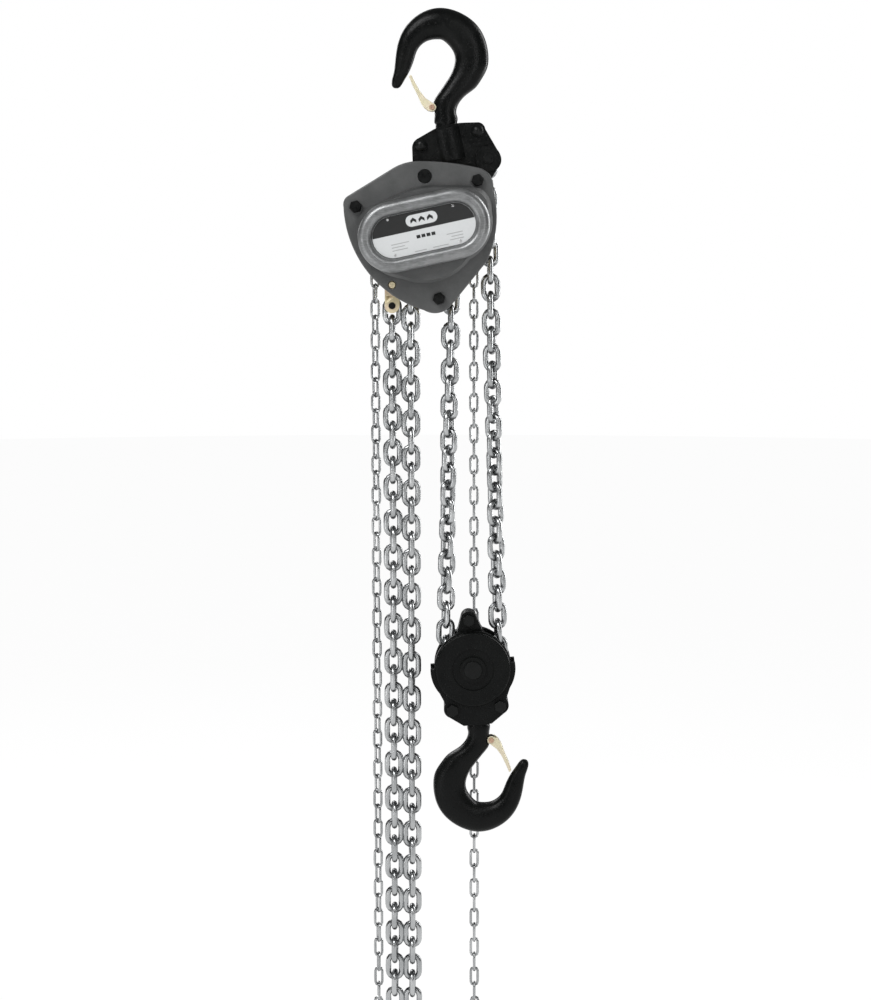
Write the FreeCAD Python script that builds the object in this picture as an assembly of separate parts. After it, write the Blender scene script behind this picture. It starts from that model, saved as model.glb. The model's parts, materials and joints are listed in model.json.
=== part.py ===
import FreeCAD, Part
import math
import os

os.makedirs("parts", exist_ok=True)
V = FreeCAD.Vector

# ---------------------------------------------------------------- driving sizes, mm
# Row frame: origin on the top hook's seat, +Z up, gear cover facing -Y.
RUN_FIT = 0.05            # radial clearance of a shaft in its bush
GAP = 0.4                 # clearance between pieces that pass each other

LOAD_PITCH = 30.0
LOAD_WIRE = 9.8           # 10 mm chain, drawn a little thin so links only just touch
LOAD_NOMINAL = 10.0
LINK_OUTER = 33.0
HAND_PITCH = 27.0
HAND_WIRE = 4.8
HAND_NOMINAL = 5.0
HAND_OUTER = 17.0

AXIS_X = -24.0            # drive shaft and load sheave axis
AXIS_Z = -318.0
BODY_TILT = 12.3          # the hoist hangs with its right side up, degrees
PLATE_IN = 32.0           # inner faces of the two side plates
PLATE_T = 6.0
PLATE_OUT = PLATE_IN + PLATE_T
COVER_Y = -39.0           # joint face of the gear cover
DOME_Y = -88.0            # front of the gear dome
RIM_Y = -98.0             # crest of the racetrack rim
RIM_HALF = 52.0           # half the straight stretch of the racetrack
RIM_R = 58.5
LABEL_R = 35.5
HAND_Y = 72.0             # plane of the hand wheel
HAND_TEETH = 10
LOAD_TEETH = 4
IDLE_TEETH = 5

SHANK_X = 13.0            # swivel axis of the top hook
SHANK_Z = -138.0          # shoulder of the top hook's shank
SHANK_R = 18.0
HOOK_LEAN = 4.0           # the top hook leans this much on its seat, degrees
HOOK_SEAT = 138.0         # from the shoulder to the seat
ANCHOR = (83.0, -199.0)   # pin that holds the standing end of the load chain
BLOCK_X = 59.0
BLOCK_Z = -1062.0
BLOCK_TILT = 5.0
LOWER_SHANK = (69.0, -1164.0)
TAIL_PIN = (-78.2, -444.0)
TAIL_RIVET = (-77.5, -408.5)
SLACK_BOTTOM = -1743.0    # last upright links of the slack loop
HAND_BOTTOM = -1690.0     # where the hand chain's bottom bow starts

STAYS = [(-137.5, -279.0), (65.0, -235.5), (1.0, -431.0)]
PLUG = (-23.0, -228.5)
GEAR_MODULE = 1.6
PINION_TEETH = 10
WHEEL_TEETH = 60
SHIFT = 0.42              # profile shift: plus on pinions, minus on wheels
PRESSURE = math.radians(20.0)
CENTRES = GEAR_MODULE * (PINION_TEETH + WHEEL_TEETH) / 2.0

NODES = {}


# ---------------------------------------------------------------- helpers
def cyl(x, z, r, y0, y1):
    """Cylinder along Y from y0 to y1."""
    return Part.makeCylinder(r, y1 - y0, V(x, y0, z), V(0, 1, 0))


def post(x, y, r, z0, z1):
    """Cylinder along Z from z0 to z1."""
    return Part.makeCylinder(r, z1 - z0, V(x, y, z0), V(0, 0, 1))


def box(x0, x1, y0, y1, z0, z1):
    return Part.makeBox(x1 - x0, y1 - y0, z1 - z0, V(x0, y0, z0))


def hexagon(x, z, flats, y0, y1, turn=0.0):
    r = flats / math.sqrt(3.0)
    corners = []
    for k in range(7):
        a = math.radians(60.0 * k + turn)
        corners.append(V(x + r * math.cos(a), y0, z + r * math.sin(a)))
    return Part.Face(Part.makePolygon(corners)).extrude(V(0, y1 - y0, 0))


def outline(steps, y):
    """Closed wire. steps: a start point, then ('to', x, z) or ('via', xm, zm, x, z)."""
    edges = []
    here = steps[0]
    for step in steps[1:]:
        end = step[-2:]
        a = V(here[0], y, here[1])
        b = V(end[0], y, end[1])
        if step[0] == "to":
            edges.append(Part.makeLine(a, b))
        else:
            edges.append(Part.Arc(a, V(step[1], y, step[2]), b).toShape())
        here = end
    return Part.Wire(edges)


def profile(steps, y0, y1):
    """Prism along Y over an outline."""
    return Part.Face(outline(steps, y0)).extrude(V(0, y1 - y0, 0))


def polygon(points, y0, y1):
    corners = [V(x, y0, z) for x, z in points]
    corners.append(corners[0])
    return Part.Face(Part.makePolygon(corners)).extrude(V(0, y1 - y0, 0))


def racetrack(x, z, half, r, y0, y1, tilt):
    """Stadium prism along Y, its straight stretch tilted up to the right."""
    shape = box(x - half, x + half, y0, y1, z - r, z + r)
    shape = shape.fuse([cyl(x - half, z, r, y0, y1), cyl(x + half, z, r, y0, y1)])
    shape = shape.removeSplitter()
    shape.rotate(V(x, 0, z), V(0, -1, 0), tilt)
    return shape


def mirror_y(shape):
    return shape.mirror(V(0, 0, 0), V(0, 1, 0))


def turned(dx, dz, degrees):
    """A direction in the XZ plane turned from +X towards +Z."""
    a = math.radians(degrees)
    return dx * math.cos(a) - dz * math.sin(a), dx * math.sin(a) + dz * math.cos(a)


def save(name, shapes):
    if not isinstance(shapes, list):
        shapes = [shapes]
    solids = []
    for shape in shapes:
        solids.extend(shape.Solids)
    NODES[name] = solids
    whole = solids[0] if len(solids) == 1 else Part.makeCompound(solids)
    whole.exportStep("parts/%s.step" % name)


# ---------------------------------------------------------------- chain
def make_link(pitch, wire, nominal, outer):
    """One welded link, its long axis on Z, lying in the XZ plane."""
    straight = pitch + 2.0 * nominal - outer
    ring = (outer - nominal) / 2.0
    circle = Part.makeCircle(wire / 2.0, V(ring, 0, straight / 2.0), V(0, 0, 1))
    section = Part.Face(Part.Wire(circle))
    top = section.revolve(V(0, 0, straight / 2.0), V(0, -1, 0), 180)
    leg = Part.makeCylinder(wire / 2.0, straight, V(ring, 0, -straight / 2.0))
    other_leg = Part.makeCylinder(wire / 2.0, straight, V(-ring, 0, -straight / 2.0))
    bottom = top.copy()
    bottom.rotate(V(0, 0, 0), V(0, 1, 0), 180)
    return top.fuse([leg, other_leg, bottom]).removeSplitter()


def place_link(link, x, y, z, along, edge_on):
    """Copy of a link with its long axis on `along` (an XZ direction); edge_on turns it a quarter."""
    copy = link.copy()
    if edge_on:
        copy.rotate(V(0, 0, 0), V(0, 0, 1), 90)
    lean = math.degrees(math.atan2(along[0], along[1]))
    copy.rotate(V(0, 0, 0), V(0, 1, 0), lean)
    copy.translate(V(x, y, z))
    return copy


def route(points, count):
    """count + 1 evenly spaced places along a polyline, with its direction there."""
    lengths = [math.dist(a, b) for a, b in zip(points, points[1:])]
    total = sum(lengths)
    places = []
    for k in range(count + 1):
        left = total * k / count
        leg = 0
        while leg < len(lengths) - 1 and left > lengths[leg]:
            left -= lengths[leg]
            leg += 1
        share = left / lengths[leg]
        a = points[leg]
        b = points[leg + 1]
        x = a[0] + (b[0] - a[0]) * share
        z = a[1] + (b[1] - a[1]) * share
        places.append((x, z))
    return places, total / count


def strand(link, points, count, first, last, first_edge_on, y=0.0):
    """Links first..last of a strand whose places run along points."""
    places, pitch = route(points, count)
    links = []
    for k in range(first, last + 1):
        before = places[max(k - 1, 0)]
        after = places[min(k + 1, count)]
        along = (after[0] - before[0], after[1] - before[1])
        edge_on = first_edge_on == (k % 2 == 0)
        links.append(place_link(link, places[k][0], y, places[k][1], along, edge_on))
    return links, pitch


def sheave_radii(teeth, pitch, wire):
    """Distance from the axis to a lying link's and a standing link's centre."""
    a = math.radians(90.0 / teeth)
    vertex = 0.5 * math.hypot(pitch / math.sin(a), wire / math.cos(a))
    lying = math.sqrt(vertex ** 2 - ((pitch + wire) / 2.0) ** 2)
    standing = math.sqrt(vertex ** 2 - ((pitch - wire) / 2.0) ** 2)
    return lying, standing


def wrap_links(link, x, y, z, teeth, pitch, wire, start, half_steps, first_flat=True):
    """Links seated on a pocket wheel from angle start, every half pocket."""
    lying, standing = sheave_radii(teeth, pitch, wire)
    links = []
    for k in range(half_steps + 1):
        angle = math.radians(start + 180.0 * k / teeth)
        flat = (k % 2 == 0) == first_flat
        r = lying if flat else standing
        along = (-math.sin(angle), math.cos(angle))
        place = (x + r * math.cos(angle), z + r * math.sin(angle))
        links.append(place_link(link, place[0], y, place[1], along, flat))
    return links


def pocket_wheel(x, y, z, teeth, pitch, wire, outer, start, flange_r, half_width, land_r):
    """Wheel with one pocket per lying link and a groove for the standing ones."""
    lying, standing = sheave_radii(teeth, pitch, wire)
    pocket_half = outer / 2.0 + 0.8
    groove_half = wire / 2.0 + 1.3
    floor = lying - wire / 2.0 - 0.3
    groove_r = standing - outer / 2.0 - 0.8
    wheel = cyl(x, z, groove_r, y - half_width, y + half_width)
    rings = []
    for side in (-1, 1):
        inner = y + side * groove_half
        edge = y + side * pocket_half
        rim = y + side * half_width
        rings.append(cyl(x, z, land_r, min(inner, edge), max(inner, edge)))
        rings.append(cyl(x, z, flange_r, min(edge, rim), max(edge, rim)))
    wheel = wheel.fuse(rings)
    pocket_length = (pitch + 2.0 * wire) / 2.0 + 0.8
    for k in range(teeth):
        slot = box(floor, flange_r + 5.0, y - pocket_half + 0.01, y + pocket_half - 0.01,
                   -pocket_length, pocket_length)
        slot.rotate(V(0, 0, 0), V(0, -1, 0), start + 360.0 * k / teeth)
        slot.translate(V(x, 0, z))
        wheel = wheel.cut(slot)
    return wheel


# ---------------------------------------------------------------- gears
def involute(angle):
    return math.tan(angle) - angle


def gear(x, z, teeth, shift, tooth_at, y0, y1):
    """Spur gear with straight-chord involute flanks; a tooth stands at tooth_at degrees."""
    backlash = 0.12
    flank_steps = 4
    pitch_r = GEAR_MODULE * teeth / 2.0
    base_r = pitch_r * math.cos(PRESSURE)
    tip_r = pitch_r + GEAR_MODULE * (0.9 + shift)
    root_r = pitch_r - GEAR_MODULE * (1.3 - shift)
    half_pitch = (math.pi / 2.0 + 2.0 * shift * math.tan(PRESSURE)) / teeth - backlash / pitch_r
    low_r = max(base_r, root_r)
    points = []
    for k in range(teeth):
        middle = math.radians(tooth_at + 360.0 * k / teeth)
        flank = []
        for s in range(flank_steps + 1):
            r = low_r + (tip_r - low_r) * s / flank_steps
            turn = half_pitch + involute(PRESSURE) - involute(math.acos(min(1.0, base_r / r)))
            flank.append((r, turn))
        if low_r > root_r:
            flank.insert(0, (root_r, flank[0][1]))
        for r, turn in flank:
            points.append((x + r * math.cos(middle - turn), z + r * math.sin(middle - turn)))
        for r, turn in reversed(flank):
            points.append((x + r * math.cos(middle + turn), z + r * math.sin(middle + turn)))
    return polygon(points, y0, y1)


# ---------------------------------------------------------------- hooks
# Sections from the shank to the tip, in the hook's own frame: shoulder at 0, seat above.
# Each is centre x, centre z, half width, half depth, and the turn of its width in degrees.
HOOK_SECTIONS = [
    (0.0, -2.0, 18.0, 18.0, 0.0),
    (-0.5, 12.0, 18.5, 18.0, 0.0),
    (1.0, 26.0, 20.0, 18.0, 0.0),
    (8.0, 39.0, 26.0, 18.5, 4.0),
    (21.0, 51.0, 30.0, 19.0, 2.0),
    (33.5, 66.0, 30.5, 19.5, 2.0),
    (44.5, 83.0, 30.0, 20.0, 3.0),
    (49.5, 102.0, 28.5, 20.5, 6.0),
    (46.5, 125.0, 28.5, 20.5, 18.0),
    (31.5, 148.0, 28.5, 20.5, 36.0),
    (0.0, 163.0, 26.0, 20.0, 80.0),
    (-31.0, 156.5, 22.5, 18.5, 108.0),
    (-50.0, 140.0, 19.5, 16.5, 128.0),
    (-59.0, 121.0, 17.0, 14.5, 150.0),
    (-64.0, 103.0, 14.8, 12.5, 165.0),
    (-70.0, 86.0, 12.2, 10.5, 172.0),
    (-77.0, 71.5, 9.6, 8.5, 174.0),
    (-79.2, 64.5, 6.6, 6.0, 174.0),
    (-79.8, 61.8, 2.6, 2.4, 174.0),
]
LATCH_PIVOT = (-22.0, 26.0)
LUG_R = 7.0
LUG_HALF = 5.0
CHEEK_IN = 7.8
CHEEK_OUT = 10.0
LATCH_WEB = [
    (-27.5, 19.8),
    (-34.5, 25.5),
    (-39.5, 33.5),
    (-45.5, 50.0),
    (-52.5, 66.0),
    (-56.8, 79.5),
]
LATCH_EDGE = [
    (-53.0, 82.0),
    (-47.0, 68.0),
    (-40.0, 53.5),
    (-31.5, 41.5),
    (-19.0, 32.0),
]
SECTION_POINTS = 16
NUT_R = 24.0
SQUARENESS = 0.88         # below 1 swells an ellipse towards a rounded rectangle


def hook_section(x, z, half, deep, turn):
    points = []
    a = math.radians(turn)
    for k in range(SECTION_POINTS):
        t = 2.0 * math.pi * k / SECTION_POINTS
        c = math.cos(t)
        s = math.sin(t)
        across = half * math.copysign(abs(c) ** SQUARENESS, c)
        depth = deep * math.copysign(abs(s) ** SQUARENESS, s)
        points.append(V(x + across * math.cos(a), depth, z + across * math.sin(a)))
    curve = Part.BSplineCurve()
    curve.interpolate(Points=points, PeriodicFlag=True)
    return Part.Wire(curve.toShape())


def hook_bowl():
    wires = [hook_section(*row) for row in HOOK_SECTIONS]
    return Part.makeLoft(wires, True, False)


def own_frame(shape, seat_frame):
    """Move a shape from the hook's own frame to its place: (x, z, turn)."""
    x, z, turn = seat_frame
    shape.rotate(V(0, 0, 0), V(0, -1, 0), turn)
    shape.translate(V(x, 0, z))
    return shape


def hook_piece(seat_frame, shank_turn, shank_length):
    """Forged hook: bowl and tip, latch lug, and a straight shank that stands plumb."""
    px, pz = LATCH_PIVOT
    bowl = hook_bowl()
    recesses = []
    for side in (-1, 1):
        y_in = side * LUG_HALF
        y_out = side * 30.0
        recesses.append(cyl(px, pz, LUG_R + 2.2, min(y_in, y_out), max(y_in, y_out)))
    bowl = bowl.fuse(cyl(px, pz, LUG_R, -LUG_HALF, LUG_HALF))
    bowl = bowl.cut(recesses[0]).cut(recesses[1])
    bowl = bowl.cut(cyl(px, pz, 3.0, -12.0, 12.0))
    own_frame(bowl, seat_frame)
    shank = post(0, 0, SHANK_R, -shank_length, 3.0)
    own_frame(shank, (seat_frame[0], seat_frame[1], shank_turn))
    return bowl.fuse(shank)


def latch_piece(seat_frame):
    px, pz = LATCH_PIVOT
    outline = LATCH_WEB + LATCH_EDGE
    inner = [(x + 2.4, z + 1.2) for x, z in LATCH_WEB]
    inner += [(x + 6.0, z + 3.0) for x, z in LATCH_EDGE]
    shell = polygon(outline, -CHEEK_OUT, CHEEK_OUT)
    shell = shell.fuse(cyl(px, pz, LUG_R, -CHEEK_OUT, CHEEK_OUT))
    shell = shell.cut(polygon(inner, -CHEEK_IN, CHEEK_IN))
    shell = shell.cut(cyl(px, pz, LUG_R + 2.5, -CHEEK_IN, CHEEK_IN))
    shell = shell.cut(cyl(px, pz, 3.0 + RUN_FIT, -12.0, 12.0))
    return own_frame(shell, seat_frame)


def latch_pin_piece(seat_frame):
    px, pz = LATCH_PIVOT
    pin = cyl(px, pz, 3.0, -11.0, 11.0)
    heads = [cyl(px, pz, 4.6, 10.0 + GAP, 12.2), cyl(px, pz, 4.6, -12.2, -10.0 - GAP)]
    return own_frame(pin.fuse(heads), seat_frame)


def shank_nut(x, z0, z1):
    """Round nut on the end of a hook's shank."""
    return post(x, 0, NUT_R, z0, z1).cut(post(x, 0, SHANK_R, z0 - 1.0, z1 + 1.0))


# ---------------------------------------------------------------- top hook and yoke
TOP_SEAT = (SHANK_X, SHANK_Z, HOOK_LEAN)
LOW_SEAT = (LOWER_SHANK[0], LOWER_SHANK[1], 180.0)
TOP_NUT = (SHANK_Z - 44.0, SHANK_Z - 28.0)
LOW_NUT = (LOWER_SHANK[1] + 14.0, LOWER_SHANK[1] + 30.0)
YOKE_Y = 22.0             # half thickness of the yoke's plate
YOKE_GAP = 0.15           # half the gap between its two halves
SOCKET_Y = 31.0           # front of the socket round the nut
MOUTH_RELIEF = 1.8        # wider mouth of the shank's bore, clear of the leaning shoulder
YOKE_BOLTS = [(-29.0, -177.0), (65.0, -153.0)]
YOKE_OUTLINE = [
    (-44.0, -183.0),
    ("via", -42.0, -173.0, -35.0, -166.0),
    ("to", -8.0, -150.5),
    ("via", 16.0, -143.0, 44.0, -139.5),
    ("to", 64.0, -139.0),
    ("via", 73.0, -141.5, 78.0, -150.0),
    ("to", 101.0, -189.0),
    ("via", 105.0, -201.0, 98.0, -216.0),
    ("to", 84.0, -240.0),
    ("via", 78.0, -251.0, 66.0, -253.0),
    ("to", -24.0, -246.5),
    ("via", -40.0, -240.0, -42.5, -224.0),
    ("to", -44.0, -183.0),
]


def yoke_half(front):
    plate = profile(YOKE_OUTLINE, -YOKE_Y, -YOKE_GAP)
    socket = post(0, 0, 30.0, -30.0, 24.0)
    socket.rotate(V(0, 0, 0), V(0, -1, 0), BODY_TILT)
    socket.translate(V(19.0, 0, -172.0))
    socket = socket.common(box(-80.0, 120.0, -SOCKET_Y, -YOKE_GAP, -260.0, -141.0))
    boss = cyl(ANCHOR[0], ANCHOR[1], 21.0, -26.0, -YOKE_GAP)
    ribs = []
    for dx, dz, length in ((-32.0, -204.0, 36.0), (82.0, -172.0, 34.0)):
        rib = box(-length / 2.0, length / 2.0, -YOKE_Y - 2.0, -YOKE_Y + 1.0, -2.2, 2.2)
        rib.rotate(V(0, 0, 0), V(0, -1, 0), BODY_TILT)
        rib.translate(V(dx, 0, dz))
        ribs.append(rib)
    ribs = [rib.common(profile(YOKE_OUTLINE, -YOKE_Y - 3.0, 0.0)) for rib in ribs]
    half = plate.fuse([socket, boss] + ribs)
    half = half.cut(post(SHANK_X, 0, SHANK_R + 0.4, SHANK_Z - 30.0, SHANK_Z + 20.0))
    half = half.cut(post(SHANK_X, 0, SHANK_R + MOUTH_RELIEF, SHANK_Z - 6.0, SHANK_Z + 20.0))
    half = half.cut(post(SHANK_X, 0, NUT_R + 0.6, TOP_NUT[0] - 6.0, TOP_NUT[1] + 4.4))
    half = half.cut(box(58.0, 120.0, -6.6, 0, -260.0, -176.0))
    half = half.cut(box(72.0, 120.0, -18.0, 0, -260.0, -210.0))
    half = half.cut(cyl(ANCHOR[0], ANCHOR[1], 6.0 + RUN_FIT, -40.0, 1.0))
    half = half.cut(cyl(PLUG[0], PLUG[1], 10.0 + RUN_FIT, -40.0, 1.0))
    half = half.cut(cyl(STAYS[1][0], STAYS[1][1], 7.0 + RUN_FIT, -40.0, 1.0))
    for bx, bz in YOKE_BOLTS:
        half = half.cut(cyl(bx, bz, 6.0, -40.0, 1.0))
    return half if front else mirror_y(half)


def build_top_hook():
    save("top_hook", hook_piece(TOP_SEAT, 0.0, 48.0))
    save("top_hook_nut", shank_nut(SHANK_X, TOP_NUT[0], TOP_NUT[1]))
    washer = post(SHANK_X, 0, NUT_R - 0.5, TOP_NUT[1] + 0.1, TOP_NUT[1] + 4.0)
    save("top_thrust_washer", washer.cut(post(SHANK_X, 0, SHANK_R, TOP_NUT[1], TOP_NUT[1] + 5.0)))
    save("top_latch", latch_piece(TOP_SEAT))
    save("top_latch_pin", latch_pin_piece(TOP_SEAT))
    save("top_latch_spring", latch_spring(TOP_SEAT))


def latch_spring(seat_frame):
    """Torsion spring: one coil round the pin on each side of the lug."""
    px, pz = LATCH_PIVOT
    coils = []
    for y0 in (-7.5, 5.2):
        coil = cyl(px, pz, 5.4, y0, y0 + 2.3).cut(cyl(px, pz, 3.2, y0 - 1.0, y0 + 4.0))
        coils.append(own_frame(coil, seat_frame))
    return coils


def build_yoke():
    save("yoke_front", yoke_half(True))
    save("yoke_rear", yoke_half(False))
    bolts = []
    nuts = []
    for bx, bz in YOKE_BOLTS:
        head = cyl(bx, bz, 9.6, -YOKE_Y - 5.0, -YOKE_Y)
        ball = Part.makeSphere(11.7, V(bx, -YOKE_Y + 1.3, bz))
        dome = ball.common(cyl(bx, bz, 9.6, -YOKE_Y - 12.0, -YOKE_Y - 5.0))
        bolts.append(cyl(bx, bz, 5.9, -YOKE_Y, YOKE_Y + 10.0).fuse([head, dome]))
        nut = hexagon(bx, bz, 18.0, YOKE_Y, YOKE_Y + 9.0)
        nuts.append(nut.cut(cyl(bx, bz, 5.9, YOKE_Y - 1.0, YOKE_Y + 12.0)))
    save("yoke_bolts", bolts + nuts)
    pin = cyl(ANCHOR[0], ANCHOR[1], 6.0, -28.0, 28.0)
    heads = [cyl(ANCHOR[0], ANCHOR[1], 8.3, -29.0, -26.0), cyl(ANCHOR[0], ANCHOR[1], 8.3, 26.0, 29.0)]
    save("chain_anchor_pin", pin.fuse(heads))
    save("suspension_shaft", cyl(PLUG[0], PLUG[1], 10.0, -PLATE_OUT - 6.0, PLATE_OUT))


# ---------------------------------------------------------------- frame, cover and its fasteners
BODY_OUTLINE = [
    (-158.0, -279.0),
    ("via", -157.5, -269.5, -149.0, -260.0),
    ("to", -80.0, -218.0),
    ("via", -58.0, -207.5, -30.0, -203.5),
    ("via", 20.0, -206.5, 66.0, -214.5),
    ("via", 82.0, -223.0, 91.0, -250.0),
    ("via", 96.5, -309.0, 81.0, -369.0),
    ("to", 20.0, -444.0),
    ("via", 0.0, -455.0, -24.0, -450.5),
    ("via", -115.0, -391.0, -158.0, -279.0),
]
DOME_OUTLINE = [
    (-136.0, -312.0),
    ("via", -128.0, -291.0, -106.0, -277.0),
    ("to", -52.0, -252.0),
    ("via", -30.0, -246.0, 0.0, -243.5),
    ("to", 50.0, -244.0),
    ("via", 78.0, -256.0, 88.0, -285.0),
    ("via", 84.0, -330.0, 52.0, -366.0),
    ("via", 2.0, -401.0, -60.0, -398.0),
    ("via", -116.0, -368.0, -136.0, -312.0),
]
GEAR_END = -84.0          # inside face of the dome
DOME_BEVEL = 7.0           # depth of the dome's sloping edge
DOME_NARROWING = 0.945
RIM_OUTER_ROUND = 11.0
RIM_INNER_ROUND = 9.0
FLANGE_T = 9.0
NUT_FLATS = 19.0
STAY_R = 7.0
STRIPPER = [               # keeps the chain from going round with the load sheave
    (-37.0, -346.0),
    (-11.0, -346.0),
    (-2.0, -378.0),
    (0.0, -398.0),
    (-27.0, -398.0),
    (-28.0, -378.0),
]


def gear_places():
    dx, dz = turned(CENTRES, 0.0, BODY_TILT)
    return [(AXIS_X + dx, AXIS_Z + dz), (AXIS_X - dx, AXIS_Z - dz)]


def from_middle(point):
    """Distance of a point from the racetrack's straight middle stretch."""
    along, across = turned(point.x - AXIS_X, point.z - AXIS_Z, -BODY_TILT)
    return math.hypot(max(abs(along) - RIM_HALF, 0.0), across)


def edges_at(shape, y, reach=1000.0):
    """Edges lying in the plane y, no farther than reach from the racetrack's middle."""
    found = []
    for edge in shape.Edges:
        flat = abs(edge.BoundBox.YMin - y) < 0.01 and abs(edge.BoundBox.YMax - y) < 0.01
        if flat and from_middle(edge.Vertexes[0].Point) < reach:
            found.append(edge)
    return found


def build_cover():
    dome_front = COVER_Y - 30.0
    flange = profile(BODY_OUTLINE, COVER_Y - FLANGE_T, COVER_Y)
    flange = flange.makeFillet(2.5, edges_at(flange, COVER_Y - FLANGE_T))
    dome = profile(DOME_OUTLINE, dome_front + DOME_BEVEL, COVER_Y - FLANGE_T)
    foot = outline(DOME_OUTLINE, dome_front + DOME_BEVEL)
    crest = foot.copy()
    crest.scale(DOME_NARROWING, V(AXIS_X, dome_front + DOME_BEVEL, AXIS_Z))
    crest.translate(V(0, -DOME_BEVEL, 0))
    dome = dome.fuse(Part.makeLoft([foot, crest], True, True))
    rim = racetrack(AXIS_X, AXIS_Z, RIM_HALF, RIM_R, RIM_Y, COVER_Y - 12.0, BODY_TILT)
    rim = rim.makeFillet(RIM_OUTER_ROUND, edges_at(rim, RIM_Y))
    rim = rim.cut(racetrack(AXIS_X, AXIS_Z, RIM_HALF, LABEL_R, RIM_Y - 1.0, DOME_Y, BODY_TILT))
    rim = rim.makeFillet(RIM_INNER_ROUND, edges_at(rim, RIM_Y, LABEL_R + 1.0))
    cover = flange.fuse([dome, rim])
    cover = cover.cut(racetrack(AXIS_X, AXIS_Z, CENTRES, 51.5, GEAR_END, COVER_Y + 1.0, BODY_TILT))
    bosses = []
    for gx, gz in gear_places() + [(AXIS_X, AXIS_Z)]:
        boss = cyl(gx, gz, 11.0, GEAR_END - 1.0, GEAR_END + 5.0)
        bosses.append(boss.cut(cyl(gx, gz, 6.0 + RUN_FIT, GEAR_END, 0.0)))
    cover = cover.fuse(bosses)
    for sx, sz in STAYS:
        cover = cover.cut(cyl(sx, sz, STAY_R + 0.3, COVER_Y - 30.0, COVER_Y + 1.0))
        cover = cover.cut(cyl(sx, sz, 13.0, COVER_Y - 60.0, COVER_Y - FLANGE_T))
    cover = cover.cut(cyl(PLUG[0], PLUG[1], 12.0, COVER_Y - 30.0, COVER_Y + 1.0))
    cover = cover.cut(cyl(TAIL_RIVET[0], TAIL_RIVET[1], 7.0, COVER_Y - 30.0, COVER_Y + 1.0))
    save("gear_cover", cover)
    save("cover_plug", cyl(PLUG[0], PLUG[1], 12.0, COVER_Y - FLANGE_T - 1.0, COVER_Y - FLANGE_T + 2.0))
    save("nameplate", racetrack(AXIS_X, AXIS_Z, RIM_HALF, LABEL_R - 0.3, DOME_Y - 0.8, DOME_Y, BODY_TILT))
    rivets = []
    for side_x in (-1, 1):
        for side_z in (-1, 1):
            dx, dz = turned(side_x * 55.0, side_z * 29.3, BODY_TILT)
            rivets.append(cyl(AXIS_X + dx, AXIS_Z + dz, 2.3, DOME_Y - 2.0, DOME_Y - 0.8))
    save("nameplate_rivets", rivets)


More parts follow.
